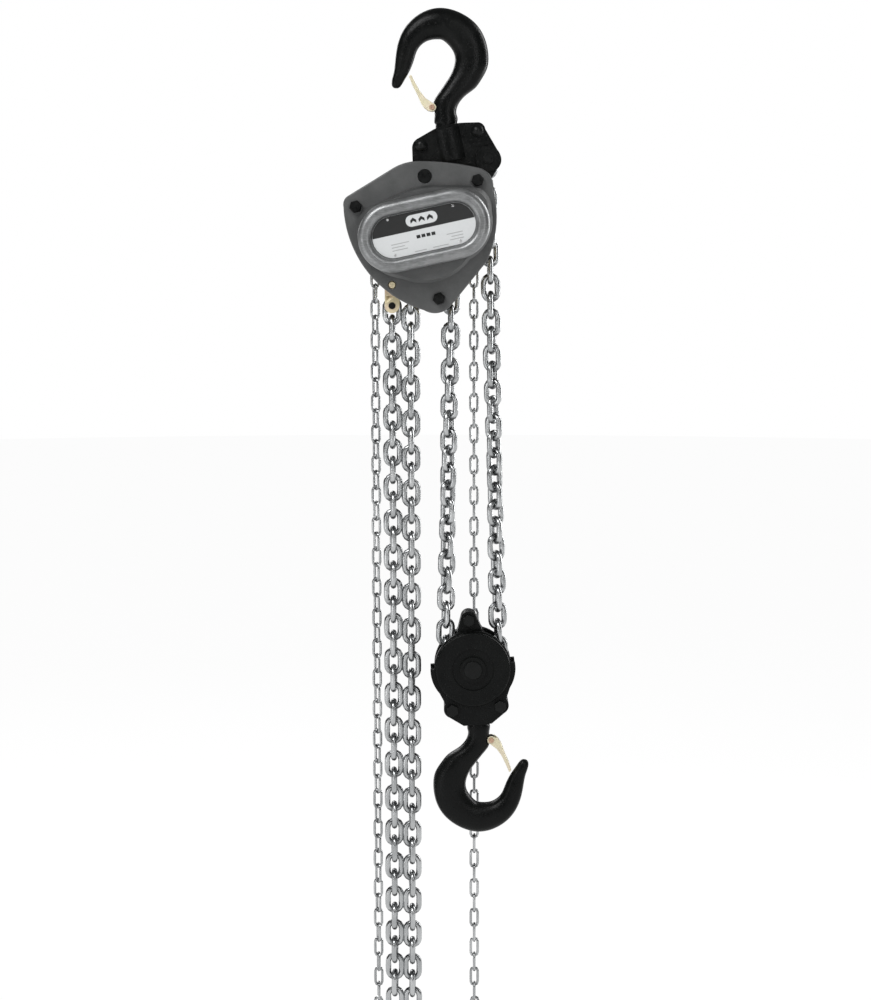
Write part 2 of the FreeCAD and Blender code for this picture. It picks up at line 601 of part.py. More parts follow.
def build_frame():
    plate = profile(BODY_OUTLINE, -PLATE_OUT, -PLATE_IN)
    holes = [cyl(x, z, STAY_R, -50.0, 50.0) for x, z in STAYS]
    holes.append(cyl(PLUG[0], PLUG[1], 10.0, -50.0, 50.0))
    holes.append(cyl(TAIL_RIVET[0], TAIL_RIVET[1], 5.6, -50.0, 50.0))
    for hole in holes:
        plate = plate.cut(hole)
    plate = plate.cut(cyl(AXIS_X, AXIS_Z, BEARING_R, -50.0, 50.0))
    rear = mirror_y(plate)
    for gx, gz in gear_places():
        plate = plate.cut(cyl(gx, gz, 9.0, -50.0, 50.0))
    save("front_side_plate", plate)
    save("rear_side_plate", rear)
    stays = []
    for x, z in STAYS:
        stays.append(cyl(x, z, STAY_R, COVER_Y - FLANGE_T - 12.0, PLATE_OUT + 11.0))
    save("stay_bolts", stays)
    front = []
    back = []
    spacers = []
    for x, z in STAYS:
        bore = cyl(x, z, STAY_R, -90.0, 90.0)
        face = COVER_Y - FLANGE_T
        front.append(hexagon(x, z, NUT_FLATS, face - 9.5, face, 15.0).cut(bore))
        back.append(hexagon(x, z, NUT_FLATS, PLATE_OUT, PLATE_OUT + 8.0, 15.0).cut(bore))
    for x, z in (STAYS[0], STAYS[2]):
        bore = cyl(x, z, STAY_R, -90.0, 90.0)
        spacers.append(cyl(x, z, STAY_R + 1.5, -PLATE_IN, PLATE_IN).cut(bore))
    save("stay_nuts", front + back)
    save("stay_spacers", spacers)
    bearings = []
    for side in (-1, 1):
        y0 = min(side * PLATE_IN, side * PLATE_OUT)
        ring = cyl(AXIS_X, AXIS_Z, BEARING_R, y0, y0 + PLATE_T)
        bearings.append(ring.cut(cyl(AXIS_X, AXIS_Z, HUB_R + RUN_FIT, y0 - 1.0, y0 + PLATE_T + 1.0)))
    for gx, gz in gear_places():
        bush = cyl(gx, gz, 9.0, -PLATE_OUT, -PLATE_IN)
        bearings.append(bush.cut(cyl(gx, gz, 6.0 + RUN_FIT, -PLATE_OUT - 1.0, -PLATE_IN + 1.0)))
    save("side_plate_bearings", bearings)
    guides = [box(-84.0, -78.0, -PLATE_IN, PLATE_IN, -396.0, -300.0)]
    guides.append(box(41.0, 47.0, -PLATE_IN, PLATE_IN, -396.0, -300.0))
    stripper = polygon(STRIPPER, -4.0, 4.0)
    feet = box(-26.0, -1.0, -PLATE_IN, PLATE_IN, -398.0, -390.0)
    save("chain_guides", guides + [stripper.fuse(feet)])
    cheeks = []
    for side in (-1, 1):
        y0 = min(side * 7.0, side * 12.0)
        cheek = box(-90.5, -65.5, y0, y0 + 5.0, TAIL_PIN[1], -396.0)
        cheek = cheek.fuse(cyl(TAIL_PIN[0], TAIL_PIN[1], 12.5, y0, y0 + 5.0)).removeSplitter()
        cheek = cheek.cut(cyl(TAIL_PIN[0], TAIL_PIN[1], 5.8, -20.0, 20.0))
        cheeks.append(cheek.cut(cyl(TAIL_RIVET[0], TAIL_RIVET[1], 5.6, -20.0, 20.0)))
    doubler = box(-90.5, -65.5, -16.0, -12.0, -427.5, -396.0)
    cheeks.append(doubler.cut(cyl(TAIL_RIVET[0], TAIL_RIVET[1], 5.6, -20.0, 20.0)))
    save("tail_anchor_plates", cheeks)
    save("tail_anchor_rivet", cyl(TAIL_RIVET[0], TAIL_RIVET[1], 5.6, COVER_Y - 7.0, PLATE_OUT))
    save("tail_anchor_pin", cyl(TAIL_PIN[0], TAIL_PIN[1], 5.8, -14.0, 14.0))


# ---------------------------------------------------------------- drive
BEARING_R = 26.0
HUB_R = 17.0
SHAFT_R = 9.0
LOAD_GEAR_Y = (-56.0, -42.0)
DISC_GEAR_Y = (-73.0, -60.0)
RATCHET_R = 46.0
RATCHET_Y = (50.0, 54.0)
RATCHET_TEETH = 12


def build_load_sheave():
    lying, standing = sheave_radii(LOAD_TEETH, LOAD_PITCH, LOAD_NOMINAL)
    sheave = pocket_wheel(AXIS_X, 0.0, AXIS_Z, LOAD_TEETH, LOAD_PITCH, LOAD_NOMINAL, LINK_OUTER,
                          0.0, lying + 10.0, 25.0, lying + 3.0)
    hub = cyl(AXIS_X, AXIS_Z, HUB_R, -42.0, 38.0)
    sheave = sheave.fuse([hub, cyl(AXIS_X, AXIS_Z, 14.0, -56.0, -42.0)])
    sheave = sheave.cut(cyl(AXIS_X, AXIS_Z, SHAFT_R + RUN_FIT, -80.0, 80.0))
    save("load_sheave", sheave)
    wheel = gear(AXIS_X, AXIS_Z, WHEEL_TEETH, -SHIFT, BODY_TILT + 180.0 / WHEEL_TEETH, *LOAD_GEAR_Y)
    save("load_gear", wheel.cut(cyl(AXIS_X, AXIS_Z, 14.0, -80.0, 0.0)))


def build_disc_gears():
    for name, place, towards in zip(("right", "left"), gear_places(), (BODY_TILT + 180.0, BODY_TILT)):
        x, z = place
        wheel = gear(x, z, WHEEL_TEETH, -SHIFT, towards + 180.0 / WHEEL_TEETH, *DISC_GEAR_Y)
        for k in range(5):
            dx, dz = turned(30.0, 0.0, 72.0 * k)
            wheel = wheel.cut(cyl(x + dx, z + dz, 9.0, -90.0, 0.0))
        save("disc_gear_" + name, wheel.cut(cyl(x, z, 8.5, -90.0, 0.0)))
        pinion = gear(x, z, PINION_TEETH, SHIFT, towards, LOAD_GEAR_Y[0] - 0.5, LOAD_GEAR_Y[1] + 0.5)
        seat = cyl(x, z, 8.5, DISC_GEAR_Y[0], DISC_GEAR_Y[1])
        neck = cyl(x, z, 6.4, DISC_GEAR_Y[1], LOAD_GEAR_Y[0])
        journal = cyl(x, z, 6.0, GEAR_END + 1.0, -PLATE_IN)
        save("disc_pinion_" + name, pinion.fuse([seat, neck, journal]))


def build_drive():
    shaft = cyl(AXIS_X, AXIS_Z, SHAFT_R, -59.5, 90.0)
    pinion = gear(AXIS_X, AXIS_Z, PINION_TEETH, SHIFT, BODY_TILT, -76.0, -59.5)
    save("drive_shaft", shaft.fuse([pinion, cyl(AXIS_X, AXIS_Z, 6.0, GEAR_END + 1.0, -70.0)]))
    bore = cyl(AXIS_X, AXIS_Z, SHAFT_R, 0.0, 120.0)
    hub = cyl(AXIS_X, AXIS_Z, 38.0, 42.0, 46.0).fuse(cyl(AXIS_X, AXIS_Z, 15.0, 39.0, 58.0))
    save("brake_hub", hub.cut(bore))
    wheel = pocket_wheel(AXIS_X, HAND_Y, AXIS_Z, HAND_TEETH, HAND_PITCH, HAND_NOMINAL, HAND_OUTER,
                         0.0, 90.0, 12.0, 83.5)
    lightening = []
    for k in range(5):
        dx, dz = turned(54.0, 0.0, 72.0 * k + 18.0)
        lightening.append(cyl(AXIS_X + dx, AXIS_Z + dz, 13.0, 50.0, 100.0))
    for hole in lightening:
        wheel = wheel.cut(hole)
    wheel = wheel.fuse(cyl(AXIS_X, AXIS_Z, 38.0, 58.2, 62.0))
    save("hand_wheel", wheel.cut(bore))
    nut = hexagon(AXIS_X, AXIS_Z, 27.0, HAND_Y + 12.0, HAND_Y + 17.0)
    save("hand_wheel_nut", nut.cut(bore))
    discs = []
    for y0, y1 in ((46.3, 49.7), (54.3, 57.9)):
        discs.append(cyl(AXIS_X, AXIS_Z, 37.0, y0, y1).cut(cyl(AXIS_X, AXIS_Z, 16.0, y0 - 1, y1 + 1)))
    save("friction_discs", discs)
    ratchet = cyl(AXIS_X, AXIS_Z, RATCHET_R, *RATCHET_Y)
    for k in range(RATCHET_TEETH):
        start = 360.0 * k / RATCHET_TEETH
        notch = [turned(RATCHET_R + 1.0, 0.0, start), turned(RATCHET_R - 7.0, 0.0, start)]
        notch.append(turned(RATCHET_R - 6.5, 0.0, start - 8.0))
        notch.append(turned(RATCHET_R + 2.0, 0.0, start - 25.0))
        corners = [(AXIS_X + a, AXIS_Z + b) for a, b in notch]
        ratchet = ratchet.cut(polygon(corners, RATCHET_Y[0] - 1.0, RATCHET_Y[1] + 1.0))
    save("ratchet_disc", ratchet.cut(cyl(AXIS_X, AXIS_Z, 16.0, 40.0, 60.0)))


def pawl_frame(shape, side):
    """Place a pawl drawn for the right-hand side; the other one is turned half a turn."""
    if side < 0:
        shape.rotate(V(0, 0, 0), V(0, 1, 0), 180.0)
    shape.translate(V(AXIS_X, 0, AXIS_Z))
    return shape


PAWL_PIVOT = (44.0, -44.0)
PAWL_POINTS = [
    (39.6, -1.0),
    (46.5, -1.2),
    (52.0, -22.0),
    (51.5, -42.0),
    (36.6, -42.0),
    (42.0, -30.0),
    (44.6, -21.0),
    (40.0, -6.0),
]


def build_pawls():
    pins = []
    springs = []
    px, pz = PAWL_PIVOT
    for name, side in (("right", 1), ("left", -1)):
        pawl = polygon(PAWL_POINTS, RATCHET_Y[0], RATCHET_Y[1]).fuse(cyl(px, pz, 7.5, *RATCHET_Y))
        pawl = pawl.cut(cyl(px, pz, 4.0 + RUN_FIT, 40.0, 60.0))
        save("pawl_" + name, pawl_frame(pawl, side))
        pins.append(pawl_frame(cyl(px, pz, 4.0, PLATE_OUT, 57.0), side))
        coil = cyl(px, pz, 6.0, 40.0, 49.0).cut(cyl(px, pz, 4.6, 39.0, 50.0))
        springs.append(pawl_frame(coil, side))
    save("pawl_pins", pins)
    save("pawl_springs", springs)


def build_wheel_cover():
    drum = cyl(AXIS_X, AXIS_Z, 101.0, PLATE_OUT + 0.1, 94.0)
    outer_edges = [e for e in drum.Edges if e.BoundBox.YMin > 93.0]
    drum = drum.makeFillet(8.0, outer_edges)
    drum = drum.cut(cyl(AXIS_X, AXIS_Z, 97.5, PLATE_OUT - 1.0, 91.0))
    for k in range(3):
        dx, dz = turned(106.0, 0.0, 90.0 + 120.0 * k)
        lug = cyl(AXIS_X + dx, AXIS_Z + dz, 9.5, PLATE_OUT + 0.1, PLATE_OUT + 5.0)
        drum = drum.fuse(lug.cut(cyl(AXIS_X, AXIS_Z, 98.0, 0.0, 100.0)))
    y0 = HAND_Y - 11.0
    y1 = HAND_Y + 11.0
    for x0, x1 in ((-103.0, -74.0), (74.0, 103.0)):
        drum = drum.cut(box(AXIS_X + x0, AXIS_X + x1, y0, y1, AXIS_Z - 120.0, AXIS_Z - 10.0))
    screws = []
    for k in range(3):
        dx, dz = turned(108.0, 0.0, 90.0 + 120.0 * k)
        hole = cyl(AXIS_X + dx, AXIS_Z + dz, 3.0, PLATE_OUT, 60.0)
        drum = drum.cut(hole)
        y0 = PLATE_OUT + 5.0
        head = hexagon(AXIS_X + dx, AXIS_Z + dz, 10.0, y0, y0 + 4.0)
        screws.append(head.fuse(cyl(AXIS_X + dx, AXIS_Z + dz, 2.9, PLATE_OUT + 0.1, y0)))
    save("wheel_cover", drum)
    save("wheel_cover_screws", screws)


# ---------------------------------------------------------------- bottom block
BLOCK_OUTLINE = [
    (-22.0, 62.2),
    ("to", -13.0, 88.0),
    ("via", 0.0, 98.0, 13.0, 88.0),
    ("to", 22.0, 62.2),
    ("via", 53.0, 39.3, 65.8, 5.0),
    ("to", 72.5, 5.0),
    ("via", 70.0, -18.0, 60.5, -37.0),
    ("to", 52.0, -57.0),
    ("via", 55.5, -69.0, 47.0, -80.5),
    ("to", 24.0, -97.0),
    ("to", -24.0, -97.0),
    ("to", -47.0, -80.5),
    ("via", -55.5, -69.0, -52.0, -57.0),
    ("to", -60.5, -37.0),
    ("via", -70.0, -18.0, -72.5, 5.0),
    ("to", -65.8, 5.0),
    ("via", -53.0, 39.3, -22.0, 62.2),
]
BLOCK_BOLTS = [(0.0, 83.0, 19.0), (-41.0, -68.0, 30.0), (41.0, -68.0, 30.0)]
BLOCK_Y = 30.0
DISC_Y = 38.0
DISC_R = 64.0
AXLE_R = 13.0


def block_frame(shape):
    shape.rotate(V(0, 0, 0), V(0, -1, 0), BLOCK_TILT)
    shape.translate(V(BLOCK_X, 0, BLOCK_Z))
    return shape


def block_half(front):
    half = profile(BLOCK_OUTLINE, -BLOCK_Y, -YOKE_GAP)
    disc = cyl(0, 0, DISC_R, -DISC_Y, -BLOCK_Y + 1.0)
    rim = [e for e in disc.Edges if e.BoundBox.YMax < -DISC_Y + 0.01]
    disc = disc.makeFillet(4.0, rim)
    half = half.fuse(disc)
    half = half.cut(cyl(0, 0, 36.0, -DISC_Y - 1.0, -DISC_Y + 3.0))
    half = half.fuse(cyl(0, 0, 22.0, -DISC_Y - 2.0, -BLOCK_Y))
    half = half.cut(cyl(0, 0, 58.0, -25.2, 1.0)).cut(cyl(0, 0, 66.0, -8.0, 1.0))
    for side in (-1, 1):
        x0 = min(side * 25.0, side * 80.0)
        half = half.cut(box(x0, x0 + 55.0, -18.5, 1.0, 0.0, 90.0))
    half = half.cut(cyl(0, 0, AXLE_R, -60.0, 1.0))
    for bx, bz, face in BLOCK_BOLTS:
        half = half.cut(box(bx - 30.0, bx + 30.0, -BLOCK_Y - 1.0, -face, 64.5, 110.0))
        half = half.cut(cyl(bx, bz, 6.0, -60.0, 1.0))
    half = block_frame(half)
    bore_x = LOWER_SHANK[0]
    half = half.cut(post(bore_x, 0, SHANK_R + 0.4, LOWER_SHANK[1] - 5.0, LOW_NUT[1] + 8.0))
    half = half.cut(post(bore_x, 0, NUT_R + 0.6, LOW_NUT[0] - 4.4, LOW_NUT[1] + 5.0))
    return half if front else mirror_y(half)


def build_block():
    save("block_front", block_half(True))
    save("block_rear", block_half(False))
    bolts = []
    nuts = []
    for bx, bz, face in BLOCK_BOLTS:
        body = cyl(bx, bz, 6.0, -face, face + 10.0)
        head = hexagon(bx, bz, 18.0, -face - 7.5, -face, 30.0)
        bolts.append(block_frame(body.fuse(head)))
        nut = hexagon(bx, bz, 18.0, face, face + 8.0, 30.0)
        nuts.append(block_frame(nut.cut(cyl(bx, bz, 6.0, 0.0, 60.0))))
    save("block_bolts", bolts + nuts)
    axle = cyl(0, 0, AXLE_R, -DISC_Y - 2.0, DISC_Y + 2.0)
    save("idle_axle", block_frame(axle.fuse(cyl(0, 0, 15.0, -DISC_Y - 4.5, -DISC_Y - 2.0))))
    lying, standing = sheave_radii(IDLE_TEETH, LOAD_PITCH, LOAD_NOMINAL)
    sheave = pocket_wheel(BLOCK_X, 0.0, BLOCK_Z, IDLE_TEETH, LOAD_PITCH, LOAD_NOMINAL, LINK_OUTER,
                          0.0, lying + 9.5, 24.5, lying + 3.0)
    save("idle_sheave", sheave.cut(cyl(BLOCK_X, BLOCK_Z, AXLE_R + 4.0, -60.0, 60.0)))
    bush = cyl(BLOCK_X, BLOCK_Z, AXLE_R + 4.0, -24.5, 24.5)
    save("idle_bush", bush.cut(cyl(BLOCK_X, BLOCK_Z, AXLE_R + RUN_FIT, -60.0, 60.0)))
    washer = post(LOWER_SHANK[0], 0, NUT_R - 0.5, LOW_NUT[0] - 4.0, LOW_NUT[0] - 0.1)
    washer = washer.cut(post(LOWER_SHANK[0], 0, SHANK_R, LOW_NUT[0] - 5.0, LOW_NUT[0]))
    save("bottom_thrust_washer", washer)
    save("bottom_hook", hook_piece(LOW_SEAT, 180.0, 34.0))
    save("bottom_hook_nut", shank_nut(LOWER_SHANK[0], *LOW_NUT))
    save("bottom_latch", latch_piece(LOW_SEAT))
    save("bottom_latch_pin", latch_pin_piece(LOW_SEAT))
    save("bottom_latch_spring", latch_spring(LOW_SEAT))


# ---------------------------------------------------------------- chains
FIRST_DROP = 30.0          # the chain leaves its sheave straight down for one link
GUIDE_Z = -408.0
GUIDE_LEFT = -47.0
GUIDE_RIGHT = 22.0
FALL_A_STEPS = 25
FALL_B_STEPS = 29
SLACK_STEPS = 48
TAIL_STEPS = 43
HAND_STEPS = 112
MOVING_PITCHES = 10       # links of each fall that the block's travel takes up
LOOP_X = -60.0


def build_chains():
    link = make_link(LOAD_PITCH, LOAD_WIRE, LOAD_NOMINAL, LINK_OUTER)
    lying, standing = sheave_radii(LOAD_TEETH, LOAD_PITCH, LOAD_NOMINAL)
    idle_lying, idle_standing = sheave_radii(IDLE_TEETH, LOAD_PITCH, LOAD_NOMINAL)
    wrap = wrap_links(link, AXIS_X, 0.0, AXIS_Z, LOAD_TEETH, LOAD_PITCH, LOAD_NOMINAL,
                      0.0, LOAD_TEETH)
    a_points = [(AXIS_X + lying, AXIS_Z), (AXIS_X + lying, AXIS_Z - FIRST_DROP)]
    a_points += [(GUIDE_RIGHT, GUIDE_Z), (BLOCK_X - idle_standing, BLOCK_Z)]
    fall_a, pitch_a = strand(link, a_points, FALL_A_STEPS, 1, FALL_A_STEPS - 1, True)
    hang = (LOAD_PITCH + LOAD_NOMINAL) / 2.0 - LOAD_NOMINAL / 2.0
    top = (ANCHOR[0], ANCHOR[1] + 6.0 - hang)
    b_points = [top, (BLOCK_X + idle_lying, BLOCK_Z)]
    fall_b, pitch_b = strand(link, b_points, FALL_B_STEPS, 0, FALL_B_STEPS - 1, False)
    save("falls_upper", fall_a[:MOVING_PITCHES] + fall_b[:MOVING_PITCHES])
    save("falls_lower", fall_a[MOVING_PITCHES:] + fall_b[MOVING_PITCHES:])
    under = wrap_links(link, BLOCK_X, 0.0, BLOCK_Z, IDLE_TEETH, LOAD_PITCH, LOAD_NOMINAL,
                       180.0, IDLE_TEETH, False)
    save("load_chain_under_idle", under)
    slack_points = [(AXIS_X - lying, AXIS_Z), (AXIS_X - lying, AXIS_Z - FIRST_DROP)]
    slack_points += [(GUIDE_LEFT, GUIDE_Z), (-45.0, -1660.0), (LOOP_X + 10.0, SLACK_BOTTOM)]
    slack, pitch_s = strand(link, slack_points, SLACK_STEPS, 1, SLACK_STEPS, True)
    tail_top = (TAIL_PIN[0], TAIL_PIN[1] + 5.8 - hang)
    tail_points = [tail_top, (-75.4, -1660.0), (LOOP_X - 10.0, SLACK_BOTTOM)]
    tail, pitch_t = strand(link, tail_points, TAIL_STEPS, 0, TAIL_STEPS, False)
    turn = place_link(link, LOOP_X, 0.0, SLACK_BOTTOM - 20.0, (1.0, 0.0), False)
    save("load_chain_slack_side", wrap + slack + [turn] + tail)
    print("load pitches", pitch_a, pitch_b, pitch_s, pitch_t)

    hand_link = make_link(HAND_PITCH, HAND_WIRE, HAND_NOMINAL, HAND_OUTER)
    lying, standing = sheave_radii(HAND_TEETH, HAND_PITCH, HAND_NOMINAL)
    wrap = wrap_links(hand_link, AXIS_X, HAND_Y, AXIS_Z, HAND_TEETH, HAND_PITCH, HAND_NOMINAL,
                      0.0, HAND_TEETH)
    left_x = -105.5
    right_x = 64.0
    radius = (right_x - left_x) / 2.0
    points = [(AXIS_X - lying, AXIS_Z)]
    bow_points = 24
    for k in range(bow_points + 1):
        a = math.pi + math.pi * k / bow_points
        points.append((left_x + radius + radius * math.cos(a), HAND_BOTTOM + radius * math.sin(a)))
    points.append((AXIS_X + lying, AXIS_Z))
    loop, pitch_h = strand(hand_link, points, HAND_STEPS, 1, HAND_STEPS - 1, True, HAND_Y)
    save("hand_chain", wrap + loop)
    print("hand pitch", pitch_h)


build_top_hook()
build_yoke()
build_cover()
build_frame()
build_load_sheave()
build_disc_gears()
build_drive()
build_pawls()
build_wheel_cover()
build_block()
build_chains()

for name in sorted(NODES):
    solids = NODES[name]
    volume = sum(solid.Volume for solid in solids)
    state = "" if all(solid.isValid() for solid in solids) else "INVALID"
    print("%-24s %3d solids %10.0f mm3 %s" % (name, len(solids), volume, state))
print(len(NODES), "nodes")
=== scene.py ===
import bmesh
import bpy
import json
import math
from mathutils import Matrix, Vector


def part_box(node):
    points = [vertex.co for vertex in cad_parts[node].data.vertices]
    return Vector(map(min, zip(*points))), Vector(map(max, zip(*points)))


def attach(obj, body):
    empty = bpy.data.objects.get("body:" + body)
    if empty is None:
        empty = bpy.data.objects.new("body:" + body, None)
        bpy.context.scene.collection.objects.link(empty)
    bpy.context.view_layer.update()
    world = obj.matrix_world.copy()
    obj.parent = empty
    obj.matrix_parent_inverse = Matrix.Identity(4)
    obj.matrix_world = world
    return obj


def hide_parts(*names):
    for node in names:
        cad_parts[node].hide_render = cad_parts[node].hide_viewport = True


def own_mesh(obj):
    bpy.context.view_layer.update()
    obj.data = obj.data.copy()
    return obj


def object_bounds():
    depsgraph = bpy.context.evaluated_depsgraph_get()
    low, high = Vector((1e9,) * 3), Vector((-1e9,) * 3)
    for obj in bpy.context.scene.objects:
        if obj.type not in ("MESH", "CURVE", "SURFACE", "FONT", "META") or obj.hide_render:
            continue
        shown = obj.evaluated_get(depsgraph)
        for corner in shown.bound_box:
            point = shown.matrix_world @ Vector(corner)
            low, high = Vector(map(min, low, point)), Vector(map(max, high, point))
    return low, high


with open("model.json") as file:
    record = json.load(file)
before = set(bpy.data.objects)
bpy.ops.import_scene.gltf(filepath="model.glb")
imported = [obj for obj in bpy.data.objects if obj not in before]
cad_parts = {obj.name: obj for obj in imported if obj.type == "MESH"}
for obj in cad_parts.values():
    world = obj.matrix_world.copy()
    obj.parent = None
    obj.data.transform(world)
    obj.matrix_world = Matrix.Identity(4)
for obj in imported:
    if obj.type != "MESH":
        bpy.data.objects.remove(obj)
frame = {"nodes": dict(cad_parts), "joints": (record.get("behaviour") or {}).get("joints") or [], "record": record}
cad_low, cad_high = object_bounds()

MM = 0.001
record = frame["record"]
joints = {j["name"]: j for j in frame["joints"]}
body_of_node = {n: b for b, members in record["behaviour"]["bodies"].items() for n in members}
slot_of_node = {s["node"]: s["material_slot"] for s in record["subparts"]}


def joint_place(name):
    return Vector(joints[name]["pos_m"])


def middle(node):
    low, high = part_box(node)
    return (low + high) / 2


# ------------------------------------------------------------ places and sizes, in metres
AXIS = joint_place("hand_wheel_spin")
RIGHT_GEAR = joint_place("disc_gear_right_spin")
TILT = math.atan2(RIGHT_GEAR.z - AXIS.z, RIGHT_GEAR.x - AXIS.x)
BLOCK = joint_place("idle_sheave_spin")
ANCHOR = middle("chain_anchor_pin")
TAIL = middle("tail_anchor_pin")
HAND_WHEEL_Y = 72 * MM

LABEL_HALF = 52 * MM
LABEL_R = 34.6 * MM
LABEL_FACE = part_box("nameplate")[0].y
RIM_R = 58.5 * MM
RIM_BACK = -52 * MM

LOAD = dict(pitch=30 * MM, wire=9.8 * MM, nominal=10 * MM, outer=33 * MM)
HAND = dict(pitch=27 * MM, wire=4.8 * MM, nominal=5 * MM, outer=17 * MM)
LOAD_TEETH = 4
IDLE_TEETH = 5
HAND_TEETH = 10


# ------------------------------------------------------------ small tools
def new_object(name, mesh):
    piece = bpy.data.objects.new(name, mesh)
    bpy.context.scene.collection.objects.link(piece)
    return piece


def settled(piece):
    """Turn a piece and its modifiers into one plain mesh."""
    graph = bpy.context.evaluated_depsgraph_get()
    graph.update()
    mesh = bpy.data.meshes.new_from_object(piece.evaluated_get(graph))
    piece.modifiers.clear()
    piece.data = mesh
    return piece


def smooth(piece, degrees=35):
    mesh = piece.data
    for polygon in mesh.polygons:
        polygon.use_smooth = True
    mesh.set_sharp_from_angle(angle=math.radians(degrees))
    return piece


def outward(piece):
    """Closed pieces face outwards."""
    work = bmesh.new()
    work.from_mesh(piece.data)
    if work.calc_volume(signed=True) < 0:
        bmesh.ops.reverse_faces(work, faces=work.faces[:])
    work.to_mesh(piece.data)
    work.free()
    return piece


def give(piece, body, material=None, stands_for=()):
    if material is not None:
        piece.data.materials.clear()
        piece.data.materials.append(material)
    if stands_for:
        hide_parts(*stands_for)
    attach(piece, body)
    return piece


def prism(name, outline, y0, y1, bevel=0.0, segments=2):
    """A plate of the given XZ outline between two Y planes, its edges eased."""
    work = bmesh.new()
    front = [work.verts.new((x, y0, z)) for x, z in outline]
    back = [work.verts.new((x, y1, z)) for x, z in outline]
    count = len(outline)
    work.faces.new(front)
    work.faces.new(back[::-1])
    for k in range(count):
        after = (k + 1) % count
        work.faces.new((front[after], front[k], back[k], back[after]))
    bmesh.ops.recalc_face_normals(work, faces=work.faces[:])
    mesh = bpy.data.meshes.new(name)
    work.to_mesh(mesh)
    work.free()
    piece = new_object(name, mesh)
    if bevel:
        ease(piece, bevel, segments)
    return smooth(outward(piece))


def ease(piece, width, segments=2, degrees=32):
    """Round the sharp edges and keep the flats flat."""
    bevel = piece.modifiers.new("ease", "BEVEL")
    bevel.width = width
    bevel.segments = segments
    bevel.limit_method = "ANGLE"
    bevel.angle_limit = math.radians(degrees)
    bevel.harden_normals = False
    for polygon in piece.data.polygons:
        polygon.use_smooth = True
    normals = piece.modifiers.new("normals", "WEIGHTED_NORMAL")
    normals.keep_sharp = True
    normals.weight = 60
    return settled(piece)


def merged_copy(name, node):
    """A joined-up copy of a CAD node's mesh, with flat faces made whole."""
    mesh = frame["nodes"][node].data.copy()
    mesh.name = name
    work = bmesh.new()
    work.from_mesh(mesh)
    bmesh.ops.remove_doubles(work, verts=work.verts[:], dist=2e-6)
    bmesh.ops.dissolve_limit(work, angle_limit=math.radians(0.3), verts=work.verts[:], edges=work.edges[:])
    work.to_mesh(mesh)
    work.free()
    return new_object(name, mesh)


def dress(node, material, width=0.8 * MM, segments=2, degrees=32):
    """Stand a piece with eased edges and a real finish in place of a plain node."""
    piece = merged_copy(node + "_finished", node)
    piece.data.materials.clear()
    if width:
        ease(piece, width, segments, degrees)
    else:
        smooth(piece, degrees)
    return give(piece, body_of_node[node], material, [node])


def islands(node):
    """Lowest and highest corner of each separate solid in a node."""
    work = bmesh.new()
    work.from_mesh(frame["nodes"][node].data)
    bmesh.ops.remove_doubles(work, verts=work.verts[:], dist=2e-6)
    left = set(work.verts)
    found = []
    while left:
        stack = [left.pop()]
        low = stack[0].co.copy()
        high = low.copy()
        while stack:
            here = stack.pop()
            low = Vector(map(min, low, here.co))
            high = Vector(map(max, high, here.co))
            for edge in here.link_edges:
                other = edge.other_vert(here)
                if other in left:
                    left.remove(other)
                    stack.append(other)
        found.append((low, high))
    work.free()
    return sorted(found, key=lambda pair: tuple(pair[0]))


# ------------------------------------------------------------ shader groups
def group(name, inputs, outputs):
    tree = bpy.data.node_groups.new(name, "ShaderNodeTree")
    for label, kind, value in inputs:
        socket = tree.interface.new_socket(label, in_out="INPUT", socket_type=kind)
        socket.default_value = value
    for label, kind in outputs:
        tree.interface.new_socket(label, in_out="OUTPUT", socket_type=kind)
    return tree, tree.nodes.new("NodeGroupInput"), tree.nodes.new("NodeGroupOutput")


def math_node(tree, operation, a, b=None, clamp=False):
    node = tree.nodes.new("ShaderNodeMath")
    node.operation = operation
    node.use_clamp = clamp
    for socket, value in zip(node.inputs, (a, b)):
        if value is None:
            continue
        if isinstance(value, (int, float)):
            socket.default_value = value
        else:
            tree.links.new(value, socket)
    return node.outputs[0]


def noise(tree, size, detail=3.0, rough=0.5, stretch=None):
    """Noise whose features are about size metres across."""
    place = tree.nodes.new("ShaderNodeTexCoord").outputs["Object"]
    if stretch:
        mapping = tree.nodes.new("ShaderNodeMapping")
        mapping.inputs["Scale"].default_value = stretch
        tree.links.new(place, mapping.inputs["Vector"])
        place = mapping.outputs["Vector"]
    node = tree.nodes.new("ShaderNodeTexNoise")
    node.inputs["Detail"].default_value = detail
    node.inputs["Roughness"].default_value = rough
    tree.links.new(place, node.inputs["Vector"])
    if isinstance(size, (int, float)):
        node.inputs["Scale"].default_value = 1.0 / size
    else:
        tree.links.new(math_node(tree, "DIVIDE", 1.0, size), node.inputs["Scale"])
    return node.outputs["Fac"]


def ramp(tree, value, low, high):
    node = tree.nodes.new("ShaderNodeMapRange")
    node.interpolation_type = "SMOOTHSTEP"
    tree.links.new(value, node.inputs["Value"])
    node.inputs["From Min"].default_value = low
    node.inputs["From Max"].default_value = high
    return node.outputs["Result"]


